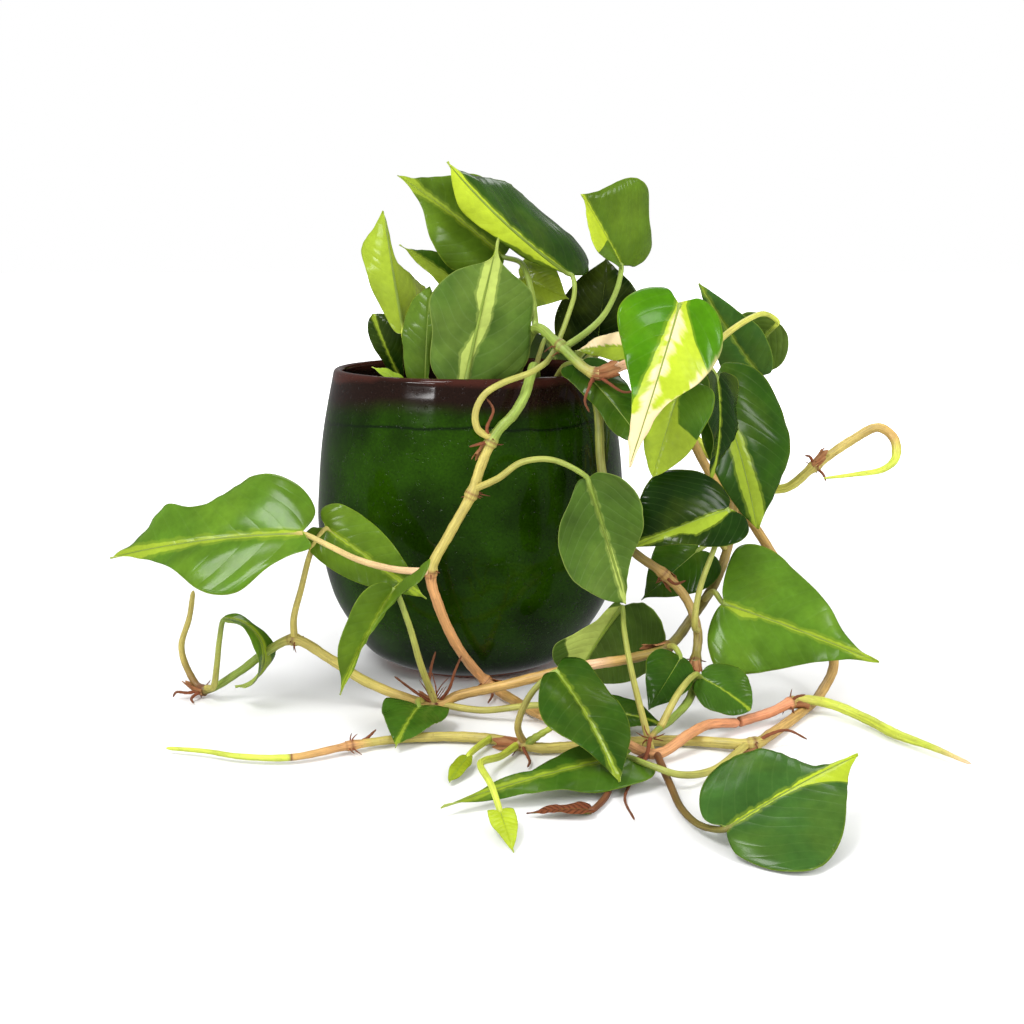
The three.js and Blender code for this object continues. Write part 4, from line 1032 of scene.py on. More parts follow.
    def add_blade(self, skin: Skin, rng: np.random.Generator) -> None:
        """Adds the blade to the leaf's skin.

        Args:
            skin: The leaf's skin.
            rng: The leaf's own chance.
        """
        x, y, edge, reach = self.flat()
        side = np.abs(x)
        wander = sum(
            rng.uniform(-VEIN_WANDER, VEIN_WANDER)
            * np.sin(rng.uniform(*WANDERS_ACROSS) * x + rng.uniform(*WANDERS_ALONG) * y + rng.uniform(0, 6))
            for _ in range(4)
        )
        phase = VEINS * (y - VEIN_SLANT * side - VEIN_ARCH * side**2) + wander
        phase = phase + np.where(x < 0, VEIN_STAGGER, 0)
        axes = self.axes()
        grid = np.array(self.base, float) + self.bent(x, y, edge) @ axes
        size = np.linalg.norm(axes[0])
        grid = grid + sheet_normals(grid) * (self.relief(x, phase, reach, rng) * size)[..., None]
        points, top, back = thin_body(grid, EDGE_THICKNESS + MIDDLE_THICKNESS * (1 - reach**2))
        depth = patch_field(self.lime, x, y), patch_field(self.cream, x, y)
        patch = np.stack([*depth, np.full(x.shape, float(self.bright))], -1)
        blade, grain = np.stack([x, y, reach], -1), np.stack([phase, side, y], -1)
        fields = {"blade": blade, "patch": patch, "grain": grain}
        both = {key: np.tile(value.reshape(-1, 3), (2, 1)) for key, value in fields.items()}
        worn = {LeafWear.FACE: top, LeafWear.BACK: back}
        skin.add(points, worn, tone=np.array(self.shade.value), **both)

    def add_stalk(self, skin: Skin) -> None:
        """Adds the stalk, which runs on as the rib under the blade, to the leaf's skin.

        Args:
            skin: The leaf's skin.
        """
        axes = self.axes()
        count = len(RIB_PLACES)
        spine = along_midrib(np.array(RIB_PLACES))
        middle = np.array(self.base, float) + self.bent(np.zeros(count), spine, np.ones(count)) @ axes
        stations = [*self.stalk, self.base, *middle]
        at = places_along(stations, STALK_STEP)
        centres = stem_curve(stations, at)
        joint = len(self.stalk)
        share = np.clip(at / joint, 0, 1)
        beyond = np.clip((at - joint) / count, 0, 1)
        low, high = STALK_RADII
        radii = (low + (high - low) * share) * (1 - beyond) ** 0.7 + RIB_END
        under = axes[2] / np.linalg.norm(axes[2])
        centres = centres - under * (radii * 0.75 * smooth(beyond, 0, 0.12))[:, None]
        first, last = (np.array(tone.value) for tone in self.stalk_tones)
        rib = np.array(Shade.PALE.value) * 0.9
        tone = first + (last - first) * share[:, None]
        tone = tone + (rib - tone) * smooth(beyond, 0, 0.3)[:, None]
        points, faces, grain = tube(centres, radii, STALK_SIDES, groove=0.14)
        tone = np.repeat(tone, STALK_SIDES, axis=0)
        skin.add(points, {LeafWear.STALK: faces}, tone=tone, grain=grain)

    def make(self, finishes: Sequence[bpy.types.Material], slot: Slot) -> bpy.types.Object:
        """Builds the leaf in the place of its solid.

        Args:
            finishes: Materials of the blade's face, its back and the stalk.
            slot: The record's slot.

        Returns:
            The piece.
        """
        rng = np.random.default_rng(sum(ord(letter) * (i + 3) for i, letter in enumerate(self.name)))
        skin = Skin()
        self.add_blade(skin, rng)
        self.add_stalk(skin)
        return placed(skin.made(f"{self.name}_leaf", finishes), slot, self.node)


# Vines

STEM_STEP = 0.9
STEM_SIDES = 16
TWIG_STEP = 0.7
TWIG_SIDES = 8
# What rises or darkens at a node: the share of it, and its place and width in millimetres
NODE_SWELL = ((0.36, 0.0, 2.6),)
NODE_RINGS = ((0.1, 1.6, 0.55), (0.07, -1.3, 0.5))
NODE_SCARS = ((0.75, 0.0, 0.8), (0.5, 2.4, 0.5))
STEM_END = (0.9, 0.7, 0.35)
TWIG_END = (0.8, 0.4)
ROOT_RADII = (0.95, 0.45)
SHOOT_RADII = (2.1, 1.0)
BRISTLE_RADII = (0.42, 0.16)
BRISTLES = 5
TUFT_BRISTLES = 11
BRISTLE_LENGTH = (2.5, 6)
TUFT_LENGTH = (8, 17)
BRISTLE_RISE = -0.3
TUFT_RISE = 0.9
BRISTLE_PLACES = (0, 0.35, 0.7, 1)
ROOT_TONES = (Tone.RUST, Tone.BROWN)
SHOOT_TONES = (Tone.GREEN, Tone.LIME)
SHEATH_ROWS = 14
SHEATH_COLUMNS = 17
SHEATH_LENGTH = (9, 13)
SHEATH_SPREAD = (1.3, 1.9)
SHEATH_FLARE = 2.0
SHEATH_THICKNESS = 0.16


def humps(table: Sequence[Triple], place: np.ndarray) -> np.ndarray:
    """The sum of rounded humps, each with a height, a place and a width."""
    return sum(height * np.exp(-(((place - middle) / width) ** 2)) for height, middle, width in table)


@dataclass(frozen=True)
class Vine:
    """One trailing vine with its nodes, roots, shoots and papery sheaths."""

    name: str
    path: Path
    nodes: tuple[int, ...] = ()
    radius: float = 2.4
    tip: float = 0.5
    roots: tuple[Path, ...] = ()
    shoots: tuple[Path, ...] = ()
    tones: tuple[tuple[float, Tone], ...] = ()
    sheaths: tuple[int, ...] = ()
    tufts: tuple[int, ...] = ()

    def tone_at(self, at: np.ndarray) -> np.ndarray:
        """The vine's colour at some places.

        Args:
            at: Places along the vine, counted in points.

        Returns:
            One colour for each.
        """
        stops = [stop for stop, _ in self.tones]
        colours = np.array([tone.value for _, tone in self.tones])
        return np.stack([np.interp(at, stops, colours[:, k]) for k in range(3)], -1)

    def add_stem(self, skin: Skin) -> None:
        """Adds the vine itself, with swollen, ringed nodes.

        Args:
            skin: The vine's skin.
        """
        at = places_along(self.path, STEM_STEP)
        centres = stem_curve(self.path, at)
        last = len(self.path) - 1
        radii = self.radius * (self.tip + (1 - self.tip) * np.minimum(1, (1 - at / last) * 4))
        tone = self.tone_at(at)
        for node in self.nodes:
            gap = np.linalg.norm(centres - np.array(self.path[node], float), axis=1)
            side = np.where(at < node, -gap, gap)
            radii = radii * (1 + humps(NODE_SWELL, gap) + humps(NODE_RINGS, side))
            scar = np.clip(humps(NODE_SCARS, side), 0, 1)
            tone = tone + (np.array(Tone.BROWN.value) - tone) * scar[:, None]
        radii = radii * (1 + 0.025 * np.sin(at * 9) + 0.02 * np.sin(at * 23 + 1))
        radii[-len(STEM_END):] *= np.array(STEM_END)
        points, faces, grain = tube(centres, radii, STEM_SIDES, groove=0.06)
        tone = np.repeat(tone, STEM_SIDES, axis=0)
        skin.add(points, {VineWear.SKIN: faces}, tone=tone, grain=grain)

    def add_twig(
        self, skin: Skin, path: Path, ends: Pair, wear: VineWear, tones: tuple[Tone, Tone]
    ) -> None:
        """Adds a root or a shoot.

        Args:
            skin: The vine's skin.
            path: What it runs through.
            ends: Its radius where it leaves the vine and at its tip.
            wear: The number of its finish.
            tones: The colours of its two ends.
        """
        at = places_along(path, TWIG_STEP)
        centres, share = stem_curve(path, at), at / at[-1]
        start, end = ends
        radii = start + (end - start) * share
        radii[-len(TWIG_END):] *= np.array(TWIG_END)
        radii = radii * (1 + 0.08 * np.sin(at * 17))
        first, last = (np.array(tone.value) for tone in tones)
        tone = first + (last - first) * share[:, None]
        points, faces, grain = tube(centres, radii, TWIG_SIDES)
        points[:, 2] = np.maximum(points[:, 2], 0.1)
        skin.add(points, {wear: faces}, tone=np.repeat(tone, TWIG_SIDES, axis=0), grain=grain)

    def add_bristles(self, skin: Skin, node: int, rng: random.Random) -> None:
        """Adds the short thin roots that stand out of a node.

        Args:
            skin: The vine's skin.
            node: The number of the path's point.
            rng: The vine's own chance.
        """
        centre = np.array(self.path[node], float)
        ahead = stem_curve(self.path, np.array([min(node + 0.02, len(self.path) - 1.02)]))[0] - centre
        ahead /= max(np.linalg.norm(ahead), TINY)
        tuft = node in self.tufts
        for _ in range(TUFT_BRISTLES if tuft else BRISTLES):
            rise = TUFT_RISE if tuft else BRISTLE_RISE
            out = np.array([rng.gauss(0, 1), rng.gauss(0, 1), rng.gauss(rise, 0.6)])
            out -= ahead * out.dot(ahead) * 0.75
            out /= np.linalg.norm(out)
            length = rng.uniform(*(TUFT_LENGTH if tuft else BRISTLE_LENGTH))
            bend = np.array([rng.gauss(0, 0.25), rng.gauss(0, 0.25), rng.gauss(-0.1, 0.2)])
            start = centre + out * self.radius * 0.7 + ahead * rng.uniform(-1.6, 1.6)
            path = [start + out * length * s + bend * length * s * s for s in BRISTLE_PLACES]
            path = tuple((x, y, max(z, 0.5)) for x, y, z in path)
            self.add_twig(skin, path, BRISTLE_RADII, VineWear.ROOT, ROOT_TONES)

    def add_sheath(self, skin: Skin, point: int, rng: random.Random) -> None:
        """Adds a papery sheath that peels off the vine beyond a node.

        Args:
            skin: The vine's skin.
            point: The number of the path's point where it is held.
            rng: The vine's own chance.
        """
        last = len(self.path) - 1
        ahead = np.array(self.path[min(point + 1, last)], float) - np.array(self.path[point], float)
        reach = rng.uniform(*SHEATH_LENGTH) / np.linalg.norm(ahead)
        start = point - 0.1 * reach
        rows, columns = SHEATH_ROWS, SHEATH_COLUMNS
        at = np.clip(start + reach * np.linspace(0, 1, rows), 0, last - 0.001)
        centres = stem_curve(self.path, at)
        share = np.linspace(0, 1, rows)[:, None]
        turn, spread = rng.uniform(0, 2 * math.pi), rng.uniform(*SHEATH_SPREAD)
        angle = turn + np.linspace(-1, 1, columns)[None, :] * spread * (1 - 0.55 * share**2)
        ragged = 0.12 * np.sin(angle * 9 + rng.uniform(0, 6)) * share
        off = self.radius * 1.12 + 0.3 + SHEATH_FLARE * share**2 + 0.25 * np.sin(angle * 5 + 3) * share
        grid = around_path(centres, off, angle) + ragged[..., None] * (centres[-1] - centres[0])
        grid[..., 2] = np.maximum(grid[..., 2], 0.4)
        points, top, back = thin_body(grid, np.full((rows, columns), SHEATH_THICKNESS))
        grain = np.broadcast_to(np.stack([angle, angle * 0, share * 0.5 + angle * 0], -1), (rows, columns, 3))
        grain = np.tile(grain.reshape(-1, 3), (2, 1))
        skin.add(points, {VineWear.SHEATH: top + back}, tone=np.array(Tone.RUST.value), grain=grain)

    def make(self, finishes: Sequence[bpy.types.Material], slot: Slot) -> bpy.types.Object:
        """Builds the vine in the place of its solid.

        Args:
            finishes: Materials of the vine, its roots and its sheaths.
            slot: The record's slot.

        Returns:
            The piece.
        """
        rng = random.Random(self.name)
        skin = Skin()
        self.add_stem(skin)
        for root in self.roots:
            self.add_twig(skin, root, ROOT_RADII, VineWear.ROOT, ROOT_TONES)
        for shoot in self.shoots:
            self.add_twig(skin, shoot, SHOOT_RADII, VineWear.SKIN, SHOOT_TONES)
        for node in self.nodes:
            self.add_bristles(skin, node, rng)
        for point in self.sheaths:
            self.add_sheath(skin, point, rng)
        return placed(skin.made(f"{self.name}_fine", finishes), slot, self.name)


VINES: tuple[Vine, ...] = (
    Vine(
        name="front_vine",
        tip=0.9,
        nodes=(7, 9, 11, 14),
        path=(
            (30, -30, 133), (33, -46, 151), (32, -60, 159.8), (30, -75, 156.5), (27, -84, 148),
            (22, -86, 140), (16, -87, 134), (12, -87, 128), (7, -88, 116), (3, -89, 104),
            (-7, -91, 86), (-16, -93, 68), (-13, -91, 52), (-4, -82, 28), (9, -66, 6),
            (22, -86, 3.5), (38, -112, 4), (52, -130, 8), (64, -148, 8.6), (82, -158, 4),
            (98, -146, 8.4), (108, -134, 8.4), (124, -119, 4),
        ),
        roots=(
            ((12, -87, 128), (10, -90, 134), (13, -91, 143), (10, -90, 148)),
            ((12, -87, 128), (6, -90, 127), (2, -91, 126)),
            ((9, -66, 6), (12, -76, 3), (10, -84, 1.2)),
        ),
        tones=(
            (0, Tone.GREEN), (6.6, Tone.GREEN), (7.4, Tone.STRAW), (10.9, Tone.STRAW),
            (11.1, Tone.APRICOT), (14, Tone.APRICOT), (15, Tone.TAN), (22, Tone.PINK),
        ),
        sheaths=(7, 14),
    ),
    Vine(
        name="pink_vine",
        radius=2.3,
        tip=0.3,
        nodes=(2,),
        path=(
            (124.6, -118.5, 4.2), (141, -109, 5.6), (151, -102, 7.5), (160, -98, 7.6), (171, -100, 6),
            (184, -113, 3.4), (192, -131, 3), (203, -147, 3), (214, -165, 2.4),
        ),
        roots=(
            ((151, -102, 7.5), (153, -104, 11), (157, -105, 12.5)),
        ),
        tones=(
            (0, Tone.PINK), (1.9, Tone.PINK), (2.1, Tone.STRAW), (4, Tone.LIME), (7, Tone.LIME),
            (8, Tone.BLUSH),
        ),
        sheaths=(2,),
    ),
    Vine(
        name="left_vine",
        nodes=(3, 4, 14, 20, 23, 26),
        path=(
            (20, -26, 133), (25, -33, 158), (33, -45, 177), (44, -61, 170), (60, -75, 158),
            (76, -70, 162), (93, -58, 163), (110, -42, 154), (125, -28, 134), (134, -24, 108),
            (133, -34, 84), (128, -48, 68), (121, -58, 54), (109, -69, 40), (94, -91, 31),
            (76, -99, 28), (60, -101, 26), (44, -99, 22), (16, -97, 14), (-4, -96, 9),
            (-14, -97, 5), (-46, -92, 14), (-64, -90, 25), (-81, -88, 34), (-95, -84, 27),
            (-110, -79, 15), (-129, -72, 4), (-137, -67, 12), (-140, -66, 24), (-136, -64, 38),
            (-133, -66, 52),
        ),
        roots=(
            ((60, -75, 158), (57, -80, 152), (55, -83, 146), (57, -84, 141)),
            ((60, -75, 158), (66, -79, 154), (73, -81, 150), (80, -80, 151)),
            ((-14, -97, 5), (-17, -99, 14), (-16, -99, 24), (-14, -98, 31)),
            ((-14, -97, 5), (-8, -99, 13), (-5, -99, 22), (-2, -98, 29)),
            ((-14, -97, 5), (-22, -100, 11), (-33, -101, 20)),
            ((-129, -72, 4), (-136, -74, 3), (-141, -76, 4), (-143, -75, 1.2)),
            ((-129, -72, 4), (-133, -79, 2), (-131, -84, 1.2)),
        ),
        tones=(
            (0, Tone.GREEN), (3.4, Tone.GREEN), (4, Tone.STRAW), (4.3, Tone.BLUSH), (6, Tone.PINK),
            (8, Tone.TAN), (14, Tone.OLIVE), (15.4, Tone.TAN), (16, Tone.BLUSH), (17, Tone.TAN),
            (20, Tone.TAN), (21, Tone.STRAW), (23, Tone.STRAW), (24, Tone.GREEN), (25.6, Tone.GREEN),
            (26, Tone.BROWN), (28, Tone.STRAW), (30, Tone.STRAW),
        ),
        sheaths=(4, 14, 20, 26),
        tufts=(20,),
    ),
    Vine(
        name="floor_vine",
        tip=0.35,
        nodes=(13, 18, 22),
        path=(
            (50, 16, 133), (58, 16, 152), (69, 15, 162), (86, 8, 156), (108, 0, 130),
            (126, -8, 98), (142, -28, 80), (155, -42, 60), (170, -52, 38), (180, -62, 16),
            (171, -78, 5), (157, -100, 2.8), (136, -132, 3.2), (126, -145, 3.8), (96, -139, 3),
            (60, -143, 3), (44, -147, 3), (34, -148, 3), (26, -146, 3.8), (12, -137, 3),
            (-6, -134, 3), (-28, -137, 3), (-48, -147, 3.8), (-72, -159, 3), (-94, -158, 3),
            (-110, -152, 3), (-128, -147, 2.5),
        ),
        roots=(
            ((126, -145, 3.4), (134, -142, 7), (142, -140, 8), (150, -143, 5)),
            ((26, -146, 3.8), (27, -152, 3), (29, -160, 1.6), (28, -166, 1.3)),
            ((-48, -147, 3.8), (-42, -142, 5), (-38, -139, 8)),
        ),
        shoots=(
            ((27, -147, 4), (33, -149, 9), (41, -149, 14)),
        ),
        tones=(
            (0, Tone.GREEN), (5, Tone.TAN), (12, Tone.TAN), (13.2, Tone.STRAW), (18, Tone.STRAW),
            (21.6, Tone.STRAW), (22, Tone.APRICOT), (22.97, Tone.TAN), (23, Tone.BROWN),
            (23.06, Tone.LIME), (26, Tone.LIME),
        ),
        sheaths=(13, 18),
    ),
    Vine(
        name="hook_vine",
        tip=0.25,
        nodes=(7,),
        path=(
            (44, 26, 133), (53, 30, 152), (63, 32, 163), (82, 26, 156), (110, 14, 126),
            (138, -4, 98), (161, -18, 94), (176, -20, 106), (194, -20, 119), (207, -22, 126),
            (214, -26, 121), (214, -31, 112), (207, -36, 107), (191, -41, 105), (175, -46, 104),
        ),
        roots=(
            ((176, -20, 106), (173, -22, 111), (170, -24, 112)),
            ((176, -20, 106), (180, -23, 102), (181, -25, 99)),
        ),
        tones=(
            (0, Tone.GREEN), (5, Tone.LIME), (7, Tone.STRAW), (10, Tone.TAN), (11, Tone.LIME),
            (14, Tone.LIME),
        ),
        sheaths=(7,),
    ),
    Vine(
        name="hanging_vine",
        radius=2.2,
        nodes=(7, 10, 14),
        path=(
            (48, -18, 133), (50, -34, 154), (54, -48, 161), (59, -60, 155), (62, -70, 139),
            (64, -80, 110), (76, -81, 78), (93, -80, 64), (104, -80, 52), (109, -87, 38),
            (107, -97, 26), (103, -114, 15), (92, -132, 10), (84, -146, 10), (80, -158, 11),
        ),
        roots=(
            ((93, -80, 64), (98, -84, 60), (103, -86, 62)),
            ((80, -158, 11), (78, -164, 6), (70, -182, 1.4), (66, -200, 1.3), (68, -219, 1.3)),
        ),
        tones=(
            (0, Tone.GREEN), (6, Tone.OLIVE), (7, Tone.TAN), (10, Tone.OLIVE), (10.4, Tone.GREEN),
            (13, Tone.GREEN), (14, Tone.TAN),
        ),
        sheaths=(7, 10, 14),
    ),
    Vine(
        name="back_vine",
        tip=0.4,
        nodes=(4, 6, 8),
        path=(
            (-14, 34, 133), (-20, 50, 152), (-24, 64, 161), (-28, 78, 156), (-30, 87, 140),
            (-26, 91, 118), (-18, 93, 98), (-12, 94, 78), (-16, 93, 58), (-24, 92, 42),
        ),
        tones=((0, Tone.GREEN), (4, Tone.STRAW), (8, Tone.TAN), (9, Tone.LIME)),
        sheaths=(6,),
    ),
)

LEAVES: tuple[Leaf, ...] = (
    Leaf(
        name="lime_fold",
        stalk=((-22, -24, 133), (-29, -29, 157)),
        base=(-32, -32, 174),
        tip=(-41, -28, 233),
        face=(-0.2, -1, 0),
        outline=(
            ((0.06, 0.02), (0.13, 0.15), (0.2, 0.35), (0.22, 0.56), (0.25, 0.74), (0.1, 0.89)),
            ((0.14, 0.03), (0.38, 0.18), (0.56, 0.33), (0.36, 0.46), (0.12, 0.6), (0.04, 0.8)),
        ),
        bend=0.2,
        fold=(0.1, -1.2),
        shade=Shade.LIME,
        lime=(((0, -0.3, 0.3), (1, -0.3, 0.3)),),
        stalk_tones=(Tone.GREEN, Tone.LIME),
    ),
    Leaf(
        name="lime_behind",
        stalk=((4, -6, 133), (8, -4, 165)),
        base=(3, 4, 191),
        tip=(-36, 0, 217),
        face=(0, -0.8, 0.7),
        width=0.45,
        bend=0.3,
        fold=(0.4, 0.4),
        shade=Shade.DARK,
        lime=(((0, -0.5, 0.0), (1, -0.5, 0.02)),),
    ),
    Leaf(
        name="narrow_upright",
        stalk=((-19, -38, 133),),
        base=(-21, -43, 148),
        tip=(-18, -41, 197),
        face=(-0.3, -1, 0),
        outline=(
            ((0.1, -0.02), (0.21, 0.12), (0.25, 0.34), (0.26, 0.62), (0.21, 0.82), (0.1, 0.93)),
            ((0.04, 0), (0.04, 0.14), (0.05, 0.34), (0.07, 0.58), (0.05, 0.78), (0.03, 0.92)),
        ),
        bend=0.2,
        fold=(0.1, -0.2),
        shade=Shade.GREY,
        lime=(((0, 0.13, 0.17), (0.5, 0.15, 0.19), (1, 0.02, 0.1)),),
    ),
    Leaf(
        name="dark_left",
        stalk=((-30, -12, 133),),
        base=(-35, -16, 150),
        tip=(-48, -20, 183),
        face=(-0.3, -0.9, 0.3),
        outline=(
            ((0.07, 0.04), (0.11, 0.2), (0.13, 0.4), (0.16, 0.6), (0.16, 0.77), (0.1, 0.92)),
            ((0.08, 0.06), (0.14, 0.22), (0.23, 0.42), (0.33, 0.62), (0.33, 0.8), (0.16, 0.94)),
        ),
        # Partly painted shade: a darker ground for the shade this leaf sits in.
        shade=Shade.DEEP,
    ),
    Leaf(
        name="rim_sprout",
        stalk=((-24, -44, 133),),
        base=(-32, -47, 150),
        tip=(-46, -50, 159),
        face=(0.3, -0.7, 0.8),
        width=0.5,
        shade=Shade.PALE,
    ),
    Leaf(
        name="broad_underside",
        stalk=((2, -46, 133),),
        base=(-1, -56, 151),
        tip=(15, -52, 220),
        face=(-0.1, 1, 0.15),
        outline=(
            ((0.15, 0.03), (0.33, 0.14), (0.39, 0.29), (0.36, 0.49), (0.31, 0.7), (0.06, 0.85)),
            ((0.14, -0.02), (0.25, 0.08), (0.29, 0.3), (0.35, 0.52), (0.23, 0.72), (0.03, 0.85)),
        ),
        bend=0.45,
        curl=-0.3,
        hook=-0.03,
        fold=(-0.1, -0.1),
        lime=(
            ((0, 0.0, 0.05), (0.2, -0.01, 0.06), (0.42, -0.075, -0.01), (0.62, -0.07, 0.055),
             (0.85, -0.05, 0.05), (1, -0.03, 0.03)),
        ),
    ),
    Leaf(
        name="upper_left",
        stalk=((33, -45, 177), (31, -33, 194), (26, -20, 208)),
        base=(17, -12, 211),
        tip=(-34, -28, 250),
        face=(0.1, -1, 0.3),
        outline=(
            ((0.1, -0.02), (0.23, 0.12), (0.34, 0.32), (0.27, 0.55), (0.1, 0.72), (0.03, 0.87)),
            ((0.1, 0), (0.22, 0.14), (0.35, 0.33), (0.34, 0.53), (0.16, 0.75), (0.05, 0.9)),
        ),
        shade=Shade.OLIVE,
        lime=(((0, -0.012, 0.012), (0.5, -0.016, 0.016), (0.8, -0.03, 0.025), (1, -0.08, 0.08)),),
        stalk_tones=(Tone.GREEN, Tone.GREEN),
    ),
    Leaf(
        name="upper_long",
        stalk=(
            (13, -87, 129), (6, -91, 134), (5, -93, 142), (9, -93, 150), (17, -91, 155),
            (29, -86, 159), (36, -74, 162), (39, -60, 163.5), (43, -48, 169), (49, -42, 184),
            (52, -36, 194),
        ),
        base=(51, -31, 202),
        tip=(-9, -48, 255),
        face=(0.56, -0.5, 0.63),
        outline=(
            ((0.03, 0.02), (0.05, 0.16), (0.08, 0.33), (0.13, 0.53), (0.12, 0.71), (0.06, 0.88)),
            ((0.2, -0.1), (0.42, -0.05), (0.44, 0.17), (0.52, 0.38), (0.38, 0.63), (0.12, 0.85)),
        ),
        bend=-0.3,
        curl=0.5,
        fold=(-1, 0.15),
        shade=Shade.DARK,
        lime=(
            ((0, -0.012, 0.006), (0.2, -0.035, 0.008), (0.35, -0.06, 0.01), (0.5, -0.115, 0.012),
             (0.6, -0.3, 0.014), (0.85, -0.3, 0.02), (1, -0.3, 0.05)),
        ),
        bright=True,
    ),
    Leaf(
        name="centre_pale",
        stalk=((22, -14, 133), (24, -12, 170)),
        base=(26, -8, 200),
        tip=(50, -16, 190),
        face=(0, -1, 0.3),
        width=1.1,
        shade=Shade.PALE,
        lime=(((0, -0.2, 0.2), (1, -0.3, 0.3)),),
    ),
    Leaf(
        name="centre_dark",
        stalk=((50, 0, 133), (58, 2, 152)),
        base=(66, 4, 168),
        tip=(70, 2, 211),
        face=(0.1, -1, 0.3),
        width=1.1,
        full=0.5,
        # Painted shade: this near-black ground stands for the shadow of the leaves in front of it.
        shade=Shade.NIGHT,
        lime=(),
    ),
    Leaf(
        name="upper_right",
        stalk=((46, -63, 169), (57, -56, 176), (66, -46, 184), (73, -36, 197)),
        base=(75, -29, 207),
        tip=(54, -50, 240),
        face=(0.25, -1, 0.1),
        outline=(
            ((0.06, 0), (0.14, 0.16), (0.28, 0.38), (0.34, 0.55), (0.2, 0.74), (0.05, 0.88)),
            ((0.2, -0.2), (0.46, -0.16), (0.54, 0.16), (0.71, 0.46), (0.6, 0.74), (0.18, 0.89)),
        ),
        bend=0.3,
        fold=(0.9, 0.1),
        shade=Shade.OLIVE,
        lime=(((0, -0.015, 0.01), (0.4, -0.02, 0.012), (0.5, -0.4, 0.012), (1, -0.4, 0.02)),),
        bright=True,
        stalk_tones=(Tone.GREEN, Tone.GREEN),
    ),
    Leaf(
        name="cream_heart",
        stalk=((92, -59, 163), (96, -72, 176)),
        base=(97, -86, 190),
        tip=(73, -114, 120),
        face=(0.1, -1, 0.3),
        outline=(
            ((0.1, -0.07), (0.22, -0.01), (0.3, 0.18), (0.24, 0.4), (0.08, 0.62), (0.03, 0.83)),
            ((0.1, -0.08), (0.25, 0.01), (0.33, 0.18), (0.22, 0.4), (0.11, 0.63), (0.05, 0.84)),
        ),
        bend=0.35,
        fold=(0.2, 0.25),
        shade=Shade.VIVID,
        lime=(
            ((-0.1, -0.02, 0.02), (0, -0.04, 0.02), (0.2, -0.14, 0.04), (0.42, -0.34, 0.07),
             (0.7, -0.4, 0.1), (1, -0.3, 0.3)),
        ),
        cream=(
            ((-0.13, -0.6, -0.34), (0.25, -0.6, -0.29), (0.5, -0.5, -0.17), (0.68, -0.4, 0.0),
             (0.8, -0.4, 0.3), (1, -0.3, 0.3)),
            ((-0.05, -0.005, 0.005), (0.2, -0.05, 0.01), (0.42, -0.03, 0.03), (0.6, -0.02, 0.05)),
        ),
        bright=True,
    ),
    Leaf(
        name="far_right_dull",
        stalk=((138, -4, 98), (146, 4, 122)),
        base=(151, 4, 150),
        tip=(116, -10, 198),
        face=(-0.5, -0.8, 0.3),
        outline=(
            ((0.1, -0.08), (0.22, -0.04), (0.25, 0.16), (0.19, 0.42), (0.11, 0.66), (0.05, 0.85)),
            ((0.08, -0.03), (0.16, 0.07), (0.22, 0.24), (0.23, 0.46), (0.14, 0.7), (0.05, 0.88)),
        ),
        shade=Shade.BLUE,
        lime=(THIN_STRIPE,),
    ),
    Leaf(
        name="far_right_under",
        stalk=((108, -43, 155), (124, -38, 172), (140, -24, 181), (152, -4, 182)),
        base=(160, 8, 177),
        tip=(136, 22, 145),
        face=(0.1, 1, 0.2),
        outline=(
            ((0.07, -0.01), (0.2, 0.04), (0.38, 0.17), (0.4, 0.38), (0.28, 0.63), (0.11, 0.86)),
            ((0.08, 0), (0.22, 0.08), (0.36, 0.25), (0.4, 0.46), (0.29, 0.68), (0.1, 0.88)),
        ),
        shade=Shade.GREY,
        stalk_tones=(Tone.STRAW, Tone.LIME),
    ),
    Leaf(
        name="right_big",
        stalk=((112, -40, 152), (117, -40, 158)),
        base=(120, -44, 153),
        tip=(140.7, -58, 81),
        face=(0.35, -0.9, 0.3),
        outline=(
            ((0.12, -0.08), (0.3, 0.01), (0.4, 0.24), (0.37, 0.5), (0.28, 0.72), (0.08, 0.91)),
            ((0.1, -0.06), (0.17, 0.04), (0.2, 0.22), (0.22, 0.42), (0.2, 0.64), (0.08, 0.87)),
        ),
        bend=0.4,
        fold=(0.2, 0.15),
        shade=Shade.DARK,
        lime=(
            ((0, -0.01, 0.01), (0.2, -0.014, 0.02), (0.45, -0.05, 0.06), (0.7, -0.06, 0.07),
             (0.9, -0.07, 0.03), (1, -0.03, 0.02)),
        ),
    ),
    Leaf(
        name="right_folded",
        stalk=((103, -48, 159), (112, -54, 162)),
        base=(118, -64, 155),
        tip=(115, -72, 106),
        face=(0.8, -0.6, 0.2),
        width=0.66,
        lobes=0.5,
        fold=(0.3, 0.4),
        # Partly painted shade: a darker ground for the shade this leaf sits in.
        shade=Shade.DEEP,
    ),
    Leaf(
        name="right_lime",
        stalk=((98, -53, 161), (101, -68, 161)),
        base=(99, -79, 152),
        tip=(86, -90, 112),
        face=(-0.1, -1, 0.3),
        outline=(
            ((0.16, -0.09), (0.34, -0.04), (0.4, 0.15), (0.36, 0.39), (0.29, 0.66), (0.12, 0.9)),
            ((0.05, -0.04), (0.09, 0.1), (0.12, 0.28), (0.18, 0.46), (0.2, 0.66), (0.09, 0.89)),
        ),
        lime=(((0.15, -0.02, 0.02), (0.4, -0.1, 0.2), (0.55, -0.4, 0.4), (1, -0.5, 0.5)),),
    ),
    Leaf(
        name="rim_droop",
        stalk=((38, -36, 133), (42, -44, 150), (47, -53, 160)),
        base=(52, -62, 161),
        tip=(80.6, -92, 128.4),
        face=(0.1, -0.8, 0.6),
        outline=(
            ((0.14, 0), (0.24, 0.1), (0.26, 0.31), (0.21, 0.55), (0.17, 0.77), (0.09, 0.93)),
            ((0.1, -0.08), (0.17, 0.02), (0.16, 0.2), (0.14, 0.45), (0.17, 0.71), (0.1, 0.91)),
        ),
        bend=0.4,
        fold=(0.1, 0.1),
        shade=Shade.DARK,
